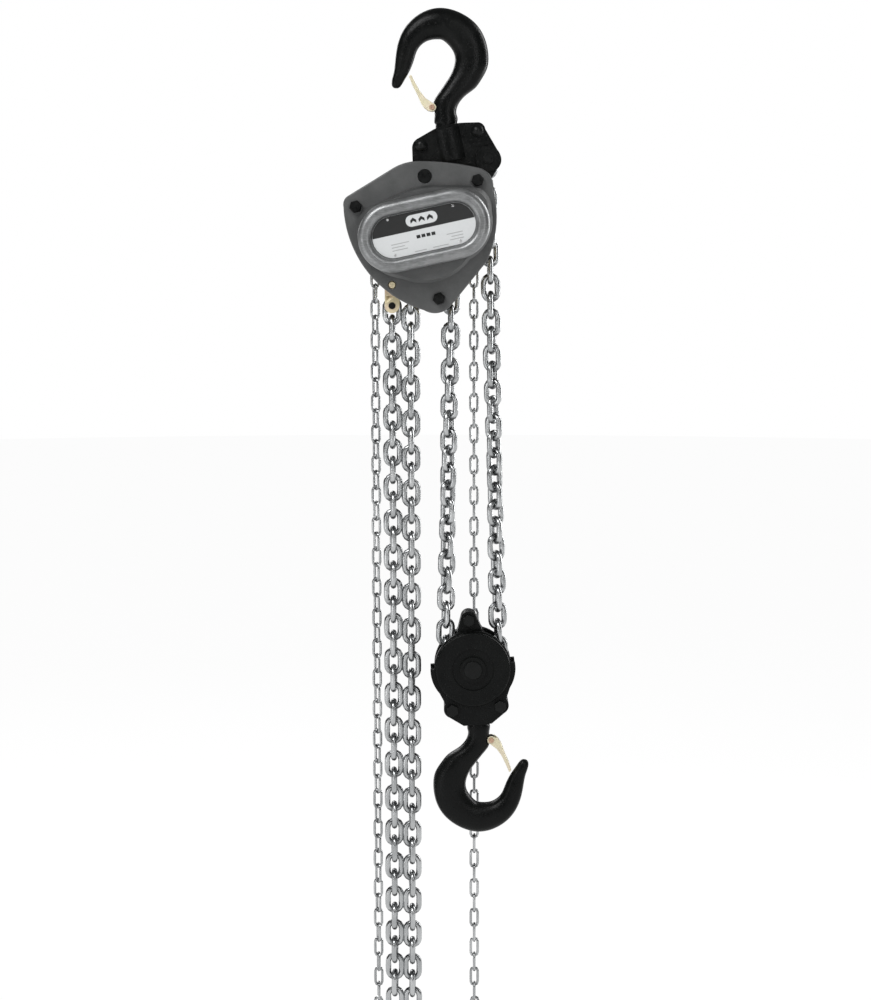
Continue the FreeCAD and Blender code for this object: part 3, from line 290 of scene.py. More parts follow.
def make_skin_group():
    """Slow blotches, a fine grain and small pits, as on cast and forged metal."""
    tree, given, put = group(
        "cast_skin",
        [("Blotch Size", "NodeSocketFloat", 0.03), ("Grain Size", "NodeSocketFloat", 0.001),
         ("Pit Depth", "NodeSocketFloat", 0.5)],
        [("Blotch", "NodeSocketFloat"), ("Grain", "NodeSocketFloat"), ("Height", "NodeSocketFloat")])
    blotch = noise(tree, given.outputs["Blotch Size"], 4.0, 0.6)
    grain = noise(tree, given.outputs["Grain Size"], 2.0, 0.6)
    pits = ramp(tree, noise(tree, 0.0035, 2.0), 0.30, 0.46)
    deep = math_node(tree, "MULTIPLY", pits, given.outputs["Pit Depth"])
    height = math_node(tree, "ADD", deep, math_node(tree, "MULTIPLY", grain, 0.35))
    height = math_node(tree, "ADD", height, math_node(tree, "MULTIPLY", blotch, 0.4))
    tree.links.new(ramp(tree, blotch, 0.35, 0.68), put.inputs["Blotch"])
    tree.links.new(grain, put.inputs["Grain"])
    tree.links.new(height, put.inputs["Height"])
    return tree


def make_wear_group():
    """Where edges have been rubbed: an edge mask broken up by noise, and stray scuffs."""
    tree, given, put = group(
        "edge_wear",
        [("Radius", "NodeSocketFloat", 0.0012), ("Amount", "NodeSocketFloat", 0.5)],
        [("Edge", "NodeSocketFloat"), ("Scuff", "NodeSocketFloat")])
    bevel = tree.nodes.new("ShaderNodeBevel")
    bevel.samples = 4
    tree.links.new(given.outputs["Radius"], bevel.inputs["Radius"])
    flat = tree.nodes.new("ShaderNodeNewGeometry")
    dot = tree.nodes.new("ShaderNodeVectorMath")
    dot.operation = "DOT_PRODUCT"
    tree.links.new(bevel.outputs["Normal"], dot.inputs[0])
    tree.links.new(flat.outputs["Normal"], dot.inputs[1])
    edge = ramp(tree, math_node(tree, "SUBTRACT", 1.0, dot.outputs["Value"]), 0.015, 0.16)
    broken = ramp(tree, noise(tree, 0.006, 5.0, 0.7), 0.42, 0.66)
    edge = math_node(tree, "MULTIPLY", edge, broken)
    scuff = ramp(tree, noise(tree, 0.014, 6.0, 0.75, (1.0, 1.0, 0.45)), 0.63, 0.80)
    tree.links.new(math_node(tree, "MULTIPLY", edge, given.outputs["Amount"], True), put.inputs["Edge"])
    tree.links.new(math_node(tree, "MULTIPLY", scuff, given.outputs["Amount"], True), put.inputs["Scuff"])
    return tree


SKIN = make_skin_group()
WEAR = make_wear_group()


def blank(name):
    material = bpy.data.materials.new(name)
    material.use_nodes = True
    tree = material.node_tree
    return material, tree, tree.nodes["Principled BSDF"]


def place_group(tree, kind, **values):
    node = tree.nodes.new("ShaderNodeGroup")
    node.node_tree = kind
    for label, value in values.items():
        node.inputs[label.replace("_", " ")].default_value = value
    return node


def mixed(tree, share, first, second):
    """Colour first where share is 0 and second where it is 1."""
    node = tree.nodes.new("ShaderNodeMix")
    node.data_type = "RGBA"
    tree.links.new(share, node.inputs["Factor"])
    for socket, value in ((node.inputs["A"], first), (node.inputs["B"], second)):
        if isinstance(value, tuple):
            socket.default_value = (*value, 1.0)
        else:
            tree.links.new(value, socket)
    return node.outputs["Result"]


def spread(tree, share, low, high):
    node = tree.nodes.new("ShaderNodeMapRange")
    tree.links.new(share, node.inputs["Value"])
    node.inputs["To Min"].default_value = low
    node.inputs["To Max"].default_value = high
    return node.outputs["Result"]


def bumped(tree, shader, height, distance, strength=1.0):
    bump = tree.nodes.new("ShaderNodeBump")
    bump.inputs["Distance"].default_value = distance
    bump.inputs["Strength"].default_value = strength
    tree.links.new(height, bump.inputs["Height"])
    tree.links.new(bump.outputs["Normal"], shader.inputs["Normal"])


def coated_metal(name, dark, light, worn, rough, metallic, blotch, grain, pits, wear, bump,
                 coat=0.0, gloss=0.5):
    """Paint or plating over a cast, forged or pressed surface."""
    material, tree, shader = blank(name)
    skin = place_group(tree, SKIN, Blotch_Size=blotch, Grain_Size=grain, Pit_Depth=pits)
    rub = place_group(tree, WEAR, Amount=wear)
    colour = mixed(tree, skin.outputs["Blotch"], dark, light)
    speckle = ramp(tree, skin.outputs["Grain"], 0.52, 0.72)
    speck = tuple(min(1.0, 1.35 * c + 0.004) for c in light)
    colour = mixed(tree, math_node(tree, "MULTIPLY", speckle, 0.5), colour, speck)
    colour = mixed(tree, math_node(tree, "MULTIPLY", rub.outputs["Scuff"], 0.6), colour, worn)
    colour = mixed(tree, rub.outputs["Edge"], colour, worn)
    tree.links.new(colour, shader.inputs["Base Color"])
    roughness = spread(tree, skin.outputs["Blotch"], rough[0], rough[1])
    roughness = math_node(tree, "SUBTRACT", roughness, math_node(tree, "MULTIPLY", rub.outputs["Edge"], 0.12))
    tree.links.new(roughness, shader.inputs["Roughness"])
    shader.inputs["Metallic"].default_value = metallic
    shader.inputs["Coat Weight"].default_value = coat
    shader.inputs["Specular IOR Level"].default_value = gloss
    shader.inputs["Coat Roughness"].default_value = 0.3
    bumped(tree, shader, skin.outputs["Height"], bump)
    return material


def rim_material():
    """The rim's lighter metallic paint, with a fine grain brushed along it."""
    material, tree, shader = blank("rim_silver")
    skin = place_group(tree, SKIN, Blotch_Size=0.03, Grain_Size=0.0009, Pit_Depth=0.2)
    brushed = noise(tree, 0.0016, 3.0, 0.6, (0.12, 1.0, 1.0))
    colour = mixed(tree, skin.outputs["Blotch"], (0.17, 0.174, 0.176), (0.24, 0.245, 0.248))
    colour = mixed(tree, math_node(tree, "MULTIPLY", ramp(tree, brushed, 0.4, 0.75), 0.4), colour,
                   (0.40, 0.41, 0.41))
    tree.links.new(colour, shader.inputs["Base Color"])
    tree.links.new(spread(tree, brushed, 0.30, 0.48), shader.inputs["Roughness"])
    shader.inputs["Metallic"].default_value = 0.75
    height = math_node(tree, "ADD", math_node(tree, "MULTIPLY", brushed, 0.5), skin.outputs["Height"])
    bumped(tree, shader, height, 0.00012)
    return material


def chain_material():
    """Bright zinc of varying roughness, with painted shade darkening the link ends where links bear on one
    another.
    """
    material, tree, shader = blank("bright_zinc")
    link_end_shade = tree.nodes.new("ShaderNodeAttribute")
    link_end_shade.attribute_name = "link_end_shade"
    slow = noise(tree, 0.045, 3.0)
    rub = noise(tree, 0.009, 2.0)
    # painted shade: the link ends go near black in noise patches where the links meet
    shaded_end = ramp(tree, link_end_shade.outputs["Fac"], 0.55, 1.0)
    contact_shade = math_node(tree, "MULTIPLY", shaded_end, ramp(tree, rub, 0.25, 0.6))
    colour = mixed(tree, ramp(tree, slow, 0.35, 0.65), (0.38, 0.39, 0.395), (0.50, 0.51, 0.515))
    colour = mixed(tree, contact_shade, colour, (0.08, 0.082, 0.085))
    tree.links.new(colour, shader.inputs["Base Color"])
    tree.links.new(spread(tree, rub, 0.20, 0.32), shader.inputs["Roughness"])
    shader.inputs["Metallic"].default_value = 1.0
    bumped(tree, shader, noise(tree, 0.003, 2.0), 0.00003)
    return material


def zinc_yellow(name, base, warm, cool):
    """Chromate passivated zinc: pale gold that drifts towards pink and green."""
    material, tree, shader = blank(name)
    skin = place_group(tree, SKIN, Blotch_Size=0.02, Grain_Size=0.0006, Pit_Depth=0.15)
    rub = place_group(tree, WEAR, Amount=0.5)
    colour = mixed(tree, ramp(tree, noise(tree, 0.018, 3.0), 0.40, 0.66), base, warm)
    colour = mixed(tree, ramp(tree, noise(tree, 0.011, 3.0, 0.6, (1.3, 0.8, 1.0)), 0.55, 0.8), colour, cool)
    colour = mixed(tree, rub.outputs["Edge"], colour, (0.80, 0.76, 0.66))
    tree.links.new(colour, shader.inputs["Base Color"])
    tree.links.new(spread(tree, skin.outputs["Blotch"], 0.36, 0.52), shader.inputs["Roughness"])
    shader.inputs["Metallic"].default_value = 0.55
    bumped(tree, shader, skin.outputs["Height"], 0.00008)
    return material


def plain_metal(name, dark, light, rough, metallic, bump=0.00006, turning=False):
    """Machined metal; turning leaves fine rings along the axle."""
    material, tree, shader = blank(name)
    skin = place_group(tree, SKIN, Blotch_Size=0.015, Grain_Size=0.0006, Pit_Depth=0.1)
    stretch = (1.0, 14.0, 1.0) if turning else (1.0, 1.0, 5.0)
    lines = noise(tree, 0.004, 3.0, 0.6, stretch)
    tree.links.new(mixed(tree, ramp(tree, lines, 0.35, 0.68), dark, light), shader.inputs["Base Color"])
    tree.links.new(spread(tree, skin.outputs["Blotch"], rough[0], rough[1]), shader.inputs["Roughness"])
    shader.inputs["Metallic"].default_value = metallic
    bumped(tree, shader, math_node(tree, "ADD", skin.outputs["Height"], lines), bump)
    return material


def printed(name, base, shade, rough):
    """Printed ink or film with a slight mottling."""
    material, tree, shader = blank(name)
    mottle = noise(tree, 0.003, 3.0, 0.6)
    tree.links.new(mixed(tree, mottle, base, shade), shader.inputs["Base Color"])
    tree.links.new(spread(tree, mottle, rough - 0.06, rough + 0.06), shader.inputs["Roughness"])
    bumped(tree, shader, mottle, 0.00002)
    return material


BLACK = dict(metallic=0.0, grain=0.0009, wear=0.30, gloss=0.12)
hook_black = coated_metal("hook_black", (0.0020, 0.0024, 0.0023), (0.0040, 0.0045, 0.0043),
                          (0.030, 0.031, 0.030), (0.27, 0.38), blotch=0.035, pits=0.7, bump=0.00022, **BLACK)
cast_black = coated_metal("cast_black", (0.0018, 0.0022, 0.0021), (0.0036, 0.0041, 0.0039),
                          (0.028, 0.029, 0.028), (0.29, 0.42), blotch=0.025, pits=1.0, bump=0.0003, **BLACK)
oxide_black = coated_metal("oxide_black", (0.0035, 0.0040, 0.0039), (0.0065, 0.0070, 0.0068),
                           (0.05, 0.05, 0.048), (0.26, 0.38), 0.0, 0.010, 0.0006, 0.2, 0.4, 0.00012,
                           gloss=0.16)
cover_grey = coated_metal("cover_grey", (0.070, 0.072, 0.072), (0.090, 0.092, 0.092), (0.20, 0.20, 0.20),
                          (0.40, 0.50), 0.35, 0.045, 0.0006, 0.35, 0.45, 0.00016, coat=0.05)
rim_silver = rim_material()
bright_zinc = chain_material()
gold_zinc = zinc_yellow("gold_zinc", (0.62, 0.55, 0.36), (0.70, 0.57, 0.42), (0.52, 0.52, 0.32))
latch_cream = zinc_yellow("latch_cream", (0.70, 0.65, 0.46), (0.74, 0.66, 0.50), (0.60, 0.58, 0.40))
copper = plain_metal("copper_rivet", (0.42, 0.26, 0.18), (0.62, 0.42, 0.30), (0.3, 0.42), 0.8)
steel = plain_metal("machined_steel", (0.34, 0.345, 0.35), (0.52, 0.525, 0.53), (0.24, 0.38), 1.0,
                    turning=True)
bronze = plain_metal("bronze", (0.42, 0.28, 0.12), (0.58, 0.42, 0.20), (0.28, 0.4), 1.0)
rivet_bright = plain_metal("rivet_bright", (0.62, 0.62, 0.62), (0.82, 0.82, 0.82), (0.22, 0.34), 1.0)
lining = printed("friction_lining", (0.11, 0.08, 0.06), (0.06, 0.045, 0.035), 0.8)
plate_pale = printed("plate_pale", (0.62, 0.635, 0.64), (0.56, 0.575, 0.58), 0.34)
ink_black = printed("ink_black", (0.010, 0.0105, 0.0105), (0.014, 0.0145, 0.0145), 0.36)
ink_grey = printed("ink_grey", (0.30, 0.305, 0.31), (0.36, 0.365, 0.37), 0.45)

FINISH = {
    "hook_black": hook_black, "cast_black": cast_black, "black_oxide": oxide_black, "cover_grey": cover_grey,
    "yellow_zinc": gold_zinc, "bright_zinc": bright_zinc, "label": plate_pale, "rivet": rivet_bright,
    "copper_rivet": copper, "friction_lining": lining, "bronze": bronze, "machined_steel": steel,
}


# ------------------------------------------------------------ geometry-node trees
def geometry_tree(name, inputs):
    tree = bpy.data.node_groups.new(name, "GeometryNodeTree")
    tree.interface.new_socket("Geometry", in_out="INPUT", socket_type="NodeSocketGeometry")
    for label, kind in inputs:
        tree.interface.new_socket(label, in_out="INPUT", socket_type=kind)
    tree.interface.new_socket("Geometry", in_out="OUTPUT", socket_type="NodeSocketGeometry")
    return tree, tree.nodes.new("NodeGroupInput"), tree.nodes.new("NodeGroupOutput")


def scatter(tree, given, put, shape):
    """Stand the shape on every point, turned as the point's attribute says."""
    turn = tree.nodes.new("GeometryNodeInputNamedAttribute")
    turn.data_type = "FLOAT_VECTOR"
    turn.inputs["Name"].default_value = "turn"
    rotation = tree.nodes.new("FunctionNodeEulerToRotation")
    tree.links.new(turn.outputs["Attribute"], rotation.inputs["Euler"])
    stand = tree.nodes.new("GeometryNodeInstanceOnPoints")
    tree.links.new(given.outputs["Geometry"], stand.inputs["Points"])
    tree.links.new(shape, stand.inputs["Instance"])
    tree.links.new(rotation.outputs["Rotation"], stand.inputs["Rotation"])
    real = tree.nodes.new("GeometryNodeRealizeInstances")
    tree.links.new(stand.outputs["Instances"], real.inputs["Geometry"])
    soft = tree.nodes.new("GeometryNodeSetShadeSmooth")
    tree.links.new(real.outputs["Geometry"], soft.inputs["Geometry"])
    coat = tree.nodes.new("GeometryNodeSetMaterial")
    tree.links.new(soft.outputs["Geometry"], coat.inputs["Geometry"])
    tree.links.new(given.outputs["Material"], coat.inputs["Material"])
    tree.links.new(coat.outputs["Geometry"], put.inputs["Geometry"])


def link_tree():
    """A welded chain link: a stadium of wire, a little fuller at its weld."""
    tree, given, put = geometry_tree("chain_link", [
        ("Width", "NodeSocketFloat"), ("Height", "NodeSocketFloat"), ("Wire Radius", "NodeSocketFloat"),
        ("Steps", "NodeSocketInt"), ("Sides", "NodeSocketInt"), ("Weld", "NodeSocketFloat"),
        ("Material", "NodeSocketMaterial")])
    frame_curve = tree.nodes.new("GeometryNodeCurvePrimitiveQuadrilateral")
    tree.links.new(given.outputs["Width"], frame_curve.inputs["Width"])
    tree.links.new(given.outputs["Height"], frame_curve.inputs["Height"])
    round_ends = tree.nodes.new("GeometryNodeFilletCurve")
    round_ends.mode = "POLY"
    round_ends.inputs["Count"].default_value = 10
    tree.links.new(frame_curve.outputs["Curve"], round_ends.inputs["Curve"])
    tree.links.new(math_node(tree, "MULTIPLY", given.outputs["Width"], 0.499), round_ends.inputs["Radius"])
    even = tree.nodes.new("GeometryNodeResampleCurve")
    tree.links.new(round_ends.outputs["Curve"], even.inputs["Curve"])
    tree.links.new(given.outputs["Steps"], even.inputs["Count"])
    place = tree.nodes.new("GeometryNodeInputPosition")
    parts = tree.nodes.new("ShaderNodeSeparateXYZ")
    tree.links.new(place.outputs["Position"], parts.inputs["Vector"])
    side = math_node(tree, "GREATER_THAN", parts.outputs["X"], 0.0)
    from_weld = math_node(tree, "DIVIDE", parts.outputs["Y"], given.outputs["Wire Radius"])
    near = math_node(tree, "SUBTRACT", 1.0, math_node(tree, "ABSOLUTE", from_weld), True)
    full = math_node(tree, "MULTIPLY", math_node(tree, "MULTIPLY", near, side), given.outputs["Weld"])
    thick = tree.nodes.new("GeometryNodeSetCurveRadius")
    tree.links.new(even.outputs["Curve"], thick.inputs["Curve"])
    tree.links.new(math_node(tree, "ADD", full, 1.0), thick.inputs["Radius"])
    section = tree.nodes.new("GeometryNodeCurvePrimitiveCircle")
    tree.links.new(given.outputs["Wire Radius"], section.inputs["Radius"])
    tree.links.new(given.outputs["Sides"], section.inputs["Resolution"])
    wire = tree.nodes.new("GeometryNodeCurveToMesh")
    tree.links.new(thick.outputs["Curve"], wire.inputs["Curve"])
    tree.links.new(section.outputs["Curve"], wire.inputs["Profile Curve"])
    if "Scale" in wire.inputs:
        radius = tree.nodes.new("GeometryNodeInputRadius")
        tree.links.new(radius.outputs["Radius"], wire.inputs["Scale"])
    # mark the link ends, where the next links pass through, for painted shade in the chain material
    link_end_shade = tree.nodes.new("GeometryNodeStoreNamedAttribute")
    link_end_shade.data_type = "FLOAT"
    link_end_shade.domain = "POINT"
    link_end_shade.inputs["Name"].default_value = "link_end_shade"
    from_middle = math_node(tree, "ABSOLUTE", parts.outputs["Y"])
    reach = math_node(tree, "DIVIDE", from_middle, given.outputs["Height"])
    inner = math_node(tree, "SUBTRACT", math_node(tree, "MULTIPLY", reach, 5.0), 1.45, True)
    tree.links.new(wire.outputs["Mesh"], link_end_shade.inputs["Geometry"])
    tree.links.new(inner, link_end_shade.inputs["Value"])
    scatter(tree, given, put, link_end_shade.outputs["Geometry"])
    return tree


def head_tree():
    """A head with a round stud end through it, both chamfered and standing along +Z."""
    tree, given, put = geometry_tree("fastener_head", [
        ("Radius", "NodeSocketFloat"), ("Height", "NodeSocketFloat"), ("Sides", "NodeSocketInt"),
        ("Stud Radius", "NodeSocketFloat"), ("Stud Height", "NodeSocketFloat"),
        ("Material", "NodeSocketMaterial")])
    pieces = tree.nodes.new("GeometryNodeJoinGeometry")
    for sides, radius, height in ((given.outputs["Sides"], "Radius", "Height"),
                                  (20, "Stud Radius", "Stud Height")):
        drum = tree.nodes.new("GeometryNodeMeshCylinder")
        if isinstance(sides, int):
            drum.inputs["Vertices"].default_value = sides
        else:
            tree.links.new(sides, drum.inputs["Vertices"])
        tree.links.new(given.outputs[radius], drum.inputs["Radius"])
        tree.links.new(math_node(tree, "MULTIPLY", given.outputs[height], 0.86), drum.inputs["Depth"])
        lift = tree.nodes.new("GeometryNodeTransform")
        up = tree.nodes.new("ShaderNodeCombineXYZ")
        tree.links.new(math_node(tree, "MULTIPLY", given.outputs[height], 0.43), up.inputs["Z"])
        tree.links.new(drum.outputs["Mesh"], lift.inputs["Geometry"])
        tree.links.new(up.outputs["Vector"], lift.inputs["Translation"])
        grow = tree.nodes.new("GeometryNodeExtrudeMesh")
        tree.links.new(lift.outputs["Geometry"], grow.inputs["Mesh"])
        tree.links.new(drum.outputs["Top"], grow.inputs["Selection"])
        tree.links.new(math_node(tree, "MULTIPLY", given.outputs[height], 0.14), grow.inputs["Offset Scale"])
        narrow = tree.nodes.new("GeometryNodeScaleElements")
        tree.links.new(grow.outputs["Mesh"], narrow.inputs["Geometry"])
        tree.links.new(grow.outputs["Top"], narrow.inputs["Selection"])
        narrow.inputs["Scale"].default_value = 0.86
        tree.links.new(narrow.outputs["Geometry"], pieces.inputs["Geometry"])
    scatter(tree, given, put, pieces.outputs["Geometry"])
    return tree


def grown(name, tree, points, **values):
    """Run a tree over points of (place, turn) and keep the result as a plain mesh."""
    mesh = bpy.data.meshes.new(name)
    mesh.from_pydata([place for place, turn in points], [], [])
    turns = mesh.attributes.new("turn", "FLOAT_VECTOR", "POINT")
    for k, (place, turn) in enumerate(points):
        turns.data[k].vector = turn
    piece = new_object(name, mesh)
    modifier = piece.modifiers.new("grow", "NODES")
    modifier.node_group = tree
    for item in tree.interface.items_tree:
        if item.in_out == "INPUT" and item.name.replace(" ", "_") in values:
            modifier[item.identifier] = values[item.name.replace(" ", "_")]
    piece.update_tag()
    settled(piece)
    if "turn" in piece.data.attributes:
        piece.data.attributes.remove(piece.data.attributes["turn"])
    return outward(piece)


LINK_TREE = link_tree()
HEAD_TREE = head_tree()


# ------------------------------------------------------------ chains
def sheave_radii(teeth, pitch, wire):
    a = math.pi / 2 / teeth
    vertex = 0.5 * math.hypot(pitch / math.sin(a), wire / math.cos(a))
    lying = math.sqrt(vertex ** 2 - ((pitch + wire) / 2) ** 2)
    standing = math.sqrt(vertex ** 2 - ((pitch - wire) / 2) ** 2)
    return lying, standing


def link_point(place, along, spin):
    """Place and turn of one link; along is in XZ and spin turns it about its own length."""
    lean = Matrix.Rotation(math.atan2(along[0], along[1]), 3, "Y")
    roll = Matrix.Rotation(spin, 3, "Z")
    stand = Matrix.Rotation(math.radians(90), 3, "X")
    return place, tuple((lean @ roll @ stand).to_euler("XYZ"))


def along_route(points, count):
    lengths = [math.dist(a, b) for a, b in zip(points, points[1:])]
    total = sum(lengths)
    places = []
    for k in range(count + 1):
        left = total * k / count
        leg = 0
        while leg < len(lengths) - 1 and left > lengths[leg]:
            left -= lengths[leg]
            leg += 1
        share = left / lengths[leg]
        places.append(tuple(a + (b - a) * share for a, b in zip(points[leg], points[leg + 1])))
    return places


def strand(points, count, first, last, first_edge_on, y=0.0, twist=None):
    places = along_route(points, count)
    links = []
    for k in range(first, last + 1):
        before = places[max(k - 1, 0)]
        after = places[min(k + 1, count)]
        edge_on = first_edge_on == (k % 2 == 0)
        spin = (math.pi / 2 if edge_on else 0.0) + (twist(k) if twist else 0.0)
        along = (after[0] - before[0], after[1] - before[1])
        links.append(link_point((places[k][0], y, places[k][1]), along, spin))
    return links


def wrap(centre, y, teeth, size, start, half_steps, first_flat=True):
    lying, standing = sheave_radii(teeth, size["pitch"], size["nominal"])
    links = []
    for k in range(half_steps + 1):
        angle = math.radians(start) + math.pi * k / teeth
        flat = (k % 2 == 0) == first_flat
        r = lying if flat else standing
        place = (centre.x + r * math.cos(angle), y, centre.z + r * math.sin(angle))
        along = (-math.sin(angle), math.cos(angle))
        links.append(link_point(place, along, math.pi / 2 if flat else 0.0))
    return links


def chain_piece(name, links, size, body, stands_for, steps, sides):
    straight = size["pitch"] + 2 * size["nominal"] - size["outer"]
    width = size["outer"] - size["nominal"]
    piece = grown(name, LINK_TREE, links, Width=width, Height=straight + width, Wire_Radius=size["wire"] / 2,
                  Steps=steps, Sides=sides, Weld=0.07, Material=bright_zinc)
    return give(piece, body, None, stands_for)


def half_turn(quick, count):
    """A quarter turn over the first links and another spread over the rest."""
    return lambda k: math.radians(90 * min(1.0, k / quick) + 90 * max(0.0, (k - quick) / (count - quick)))


def wave(size, length, start=0.0):
    """A gentle twist along a strand, in degrees, that comes back to nothing."""
    return lambda k: math.radians(size) * math.sin(math.pi * 2 * (k + start) / length)


FIRST_DROP = 30 * MM       # the load chain leaves the sheave straight for this far
GUIDE_Z = -408 * MM        # mouth of the chain guides, where both strands change direction
GUIDE_LEFT = -47 * MM
GUIDE_RIGHT = 22 * MM
STRAND_END_Z = -1660 * MM  # the two slack strands close in below this height
SLACK_END_X = -45 * MM
TAIL_END_X = -75.4 * MM
SLACK_BOTTOM = -1743 * MM
LOOP_X = -60 * MM
LOOP_HALF = 10 * MM
LOOP_LINK_DROP = 20 * MM
ANCHOR_PIN_R = 6 * MM
TAIL_PIN_R = 5.8 * MM
HAND_BOTTOM = -1690 * MM
HAND_LEFT = -105.5 * MM
HAND_RIGHT = 64 * MM
HAND_TWIST = -35           # degrees, of every other link in the left hand strand
FALL_A_STEPS = 25
FALL_B_STEPS = 29
SLACK_STEPS = 48
TAIL_STEPS = 43
LOOP_STEPS = 112
LEFT_STEPS = 52            # of them, the ones down the left strand
BOW_STEPS = 24
MOVING_A = 14              # links of each fall that draw together as the block rises
MOVING_B = 13
LOAD_STEPS = 24
LOAD_SIDES = 9
HAND_STEPS = 16
HAND_SIDES = 7


def make_load_chain():
    pitch = LOAD["pitch"]
    nominal = LOAD["nominal"]
    lying = sheave_radii(LOAD_TEETH, pitch, nominal)[0]
    idle_lying, idle_standing = sheave_radii(IDLE_TEETH, pitch, nominal)
    a_points = [(AXIS.x + lying, AXIS.z), (AXIS.x + lying, AXIS.z - FIRST_DROP), (GUIDE_RIGHT, GUIDE_Z),
                (BLOCK.x - idle_standing, BLOCK.z)]
    fall_a = strand(a_points, FALL_A_STEPS, 1, FALL_A_STEPS - 1, True, twist=half_turn(5, FALL_A_STEPS))
    hung = nominal / 2 - (pitch + nominal) / 2
    b_points = [(ANCHOR.x, ANCHOR.z + ANCHOR_PIN_R + hung), (BLOCK.x + idle_lying, BLOCK.z)]
    fall_b = strand(b_points, FALL_B_STEPS, 0, FALL_B_STEPS - 1, False, twist=half_turn(6, FALL_B_STEPS))
    size = (LOAD_STEPS, LOAD_SIDES)
    for name, links, moving, top, keep in (("fall_from_sheave", fall_a, MOVING_A, AXIS.z, 0.22),
                                           ("fall_from_anchor", fall_b, MOVING_B, ANCHOR.z, 0.10)):
        upper = chain_piece(name + "_upper", links[:moving], LOAD, "frame", ["falls_upper"], *size)
        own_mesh(upper)
        chain_piece(name + "_lower", links[moving:], LOAD, "block", ["falls_lower"], *size)
    under = wrap(BLOCK, 0.0, IDLE_TEETH, LOAD, 180.0, IDLE_TEETH, False)
    chain_piece("chain_under_idle", under, LOAD, "block", ["load_chain_under_idle"], *size)
    over = wrap(AXIS, 0.0, LOAD_TEETH, LOAD, 0.0, LOAD_TEETH)
    slack_points = [(AXIS.x - lying, AXIS.z), (AXIS.x - lying, AXIS.z - FIRST_DROP), (GUIDE_LEFT, GUIDE_Z),
                    (SLACK_END_X, STRAND_END_Z), (LOOP_X + LOOP_HALF, SLACK_BOTTOM)]
    slack = strand(slack_points, SLACK_STEPS, 1, SLACK_STEPS, True, twist=wave(5, 21.0))
    tail_top = TAIL.z + TAIL_PIN_R + hung
    tail_points = [(TAIL.x, tail_top), (TAIL_END_X, STRAND_END_Z), (LOOP_X - LOOP_HALF, SLACK_BOTTOM)]
    tail = strand(tail_points, TAIL_STEPS, 0, TAIL_STEPS, False, twist=wave(5, 17.0))
    turn = [link_point((LOOP_X, 0.0, SLACK_BOTTOM - LOOP_LINK_DROP), (1.0, 0.0), 0.0)]
    chain_piece("load_chain_slack", over + slack + turn + tail, LOAD, "frame",
                ["load_chain_slack_side"], *size)


def make_hand_chain():
    lying = sheave_radii(HAND_TEETH, HAND["pitch"], HAND["nominal"])[0]
    radius = (HAND_RIGHT - HAND_LEFT) / 2
    points = [(AXIS.x - lying, AXIS.z)]
    for k in range(BOW_STEPS + 1):
        a = math.pi + math.pi * k / BOW_STEPS
        points.append((HAND_LEFT + radius + radius * math.cos(a), HAND_BOTTOM + radius * math.sin(a)))
    points.append((AXIS.x + lying, AXIS.z))
    over = wrap(AXIS, HAND_WHEEL_Y, HAND_TEETH, HAND, 0.0, HAND_TEETH)

    def twist(k):
        if k % 2:
            return 0.0
        return math.radians(HAND_TWIST) * min(1.0, k / 6, max(0.0, (LEFT_STEPS - k) / 10))

    loop = strand(points, LOOP_STEPS, 1, LOOP_STEPS - 1, True, HAND_WHEEL_Y, twist)
    chain_piece("hand_chain_loop", over + loop, HAND, "frame", ["hand_chain"], HAND_STEPS, HAND_SIDES)


# ------------------------------------------------------------ gear cover, label
def label_place(u, v):
    """A place on the tilted label: u along it, v up it."""
    c = math.cos(TILT)
    s = math.sin(TILT)
    return AXIS.x + u * c - v * s, AXIS.z + u * s + v * c


def stadium(half, r, steps=20):
    outline = []
    for side, start in ((1, -90), (-1, 90)):
        for k in range(steps + 1):
            a = math.radians(start + 180 * k / steps)
            outline.append((side * half + r * math.cos(a), r * math.sin(a)))
    return outline


def on_label(outline):
    return [label_place(u, v) for u, v in outline]


def clipped_above(outline, v0):
    """The part of an outline above v0."""
    kept = []
    count = len(outline)
    for k in range(count):
        a = outline[k]
        b = outline[(k + 1) % count]
        if a[1] >= v0:
            kept.append(a)
        if (a[1] >= v0) != (b[1] >= v0):
            share = (v0 - a[1]) / (b[1] - a[1])
            kept.append((a[0] + (b[0] - a[0]) * share, v0))
    return kept


def make_cover():
    piece = merged_copy("gear_cover_finished", "gear_cover")
    piece.data.materials.clear()
    ease(piece, 1.4 * MM, 3)
    piece.data.materials.append(cover_grey)
    piece.data.materials.append(rim_silver)
    c = math.cos(TILT)
    s = math.sin(TILT)
    for polygon in piece.data.polygons:
        corners = [piece.data.vertices[k].co for k in polygon.vertices]
        aways = []
        for at in corners:
            dx = at.x - AXIS.x
            dz = at.z - AXIS.z
            aways.append(math.hypot(max(0.0, abs(dx * c + dz * s) - LABEL_HALF), -dx * s + dz * c))
        front = max(at.y for at in corners) < RIM_BACK
        floor = max(aways) < LABEL_R + 2 * MM and abs(polygon.normal.y) > 0.8
        inside = min(aways) > LABEL_R - 1 * MM and max(aways) < RIM_R + 0.4 * MM
        polygon.material_index = 1 if front and inside and not floor else 0
    give(piece, "frame", None, ["gear_cover"])


INK = 0.12 * MM
BAND_V = 3.5 * MM
EMBLEM_V = 19.4 * MM


def ink(name, outline, material, layer=1):
    y1 = LABEL_FACE - (layer - 1) * INK
    piece = prism(name, on_label(outline), y1 - INK, y1)
    return give(piece, "frame", material)


def rectangle(u, v, width, height):
    return [(u - width / 2, v - height / 2), (u + width / 2, v - height / 2),
            (u + width / 2, v + height / 2), (u - width / 2, v + height / 2)]


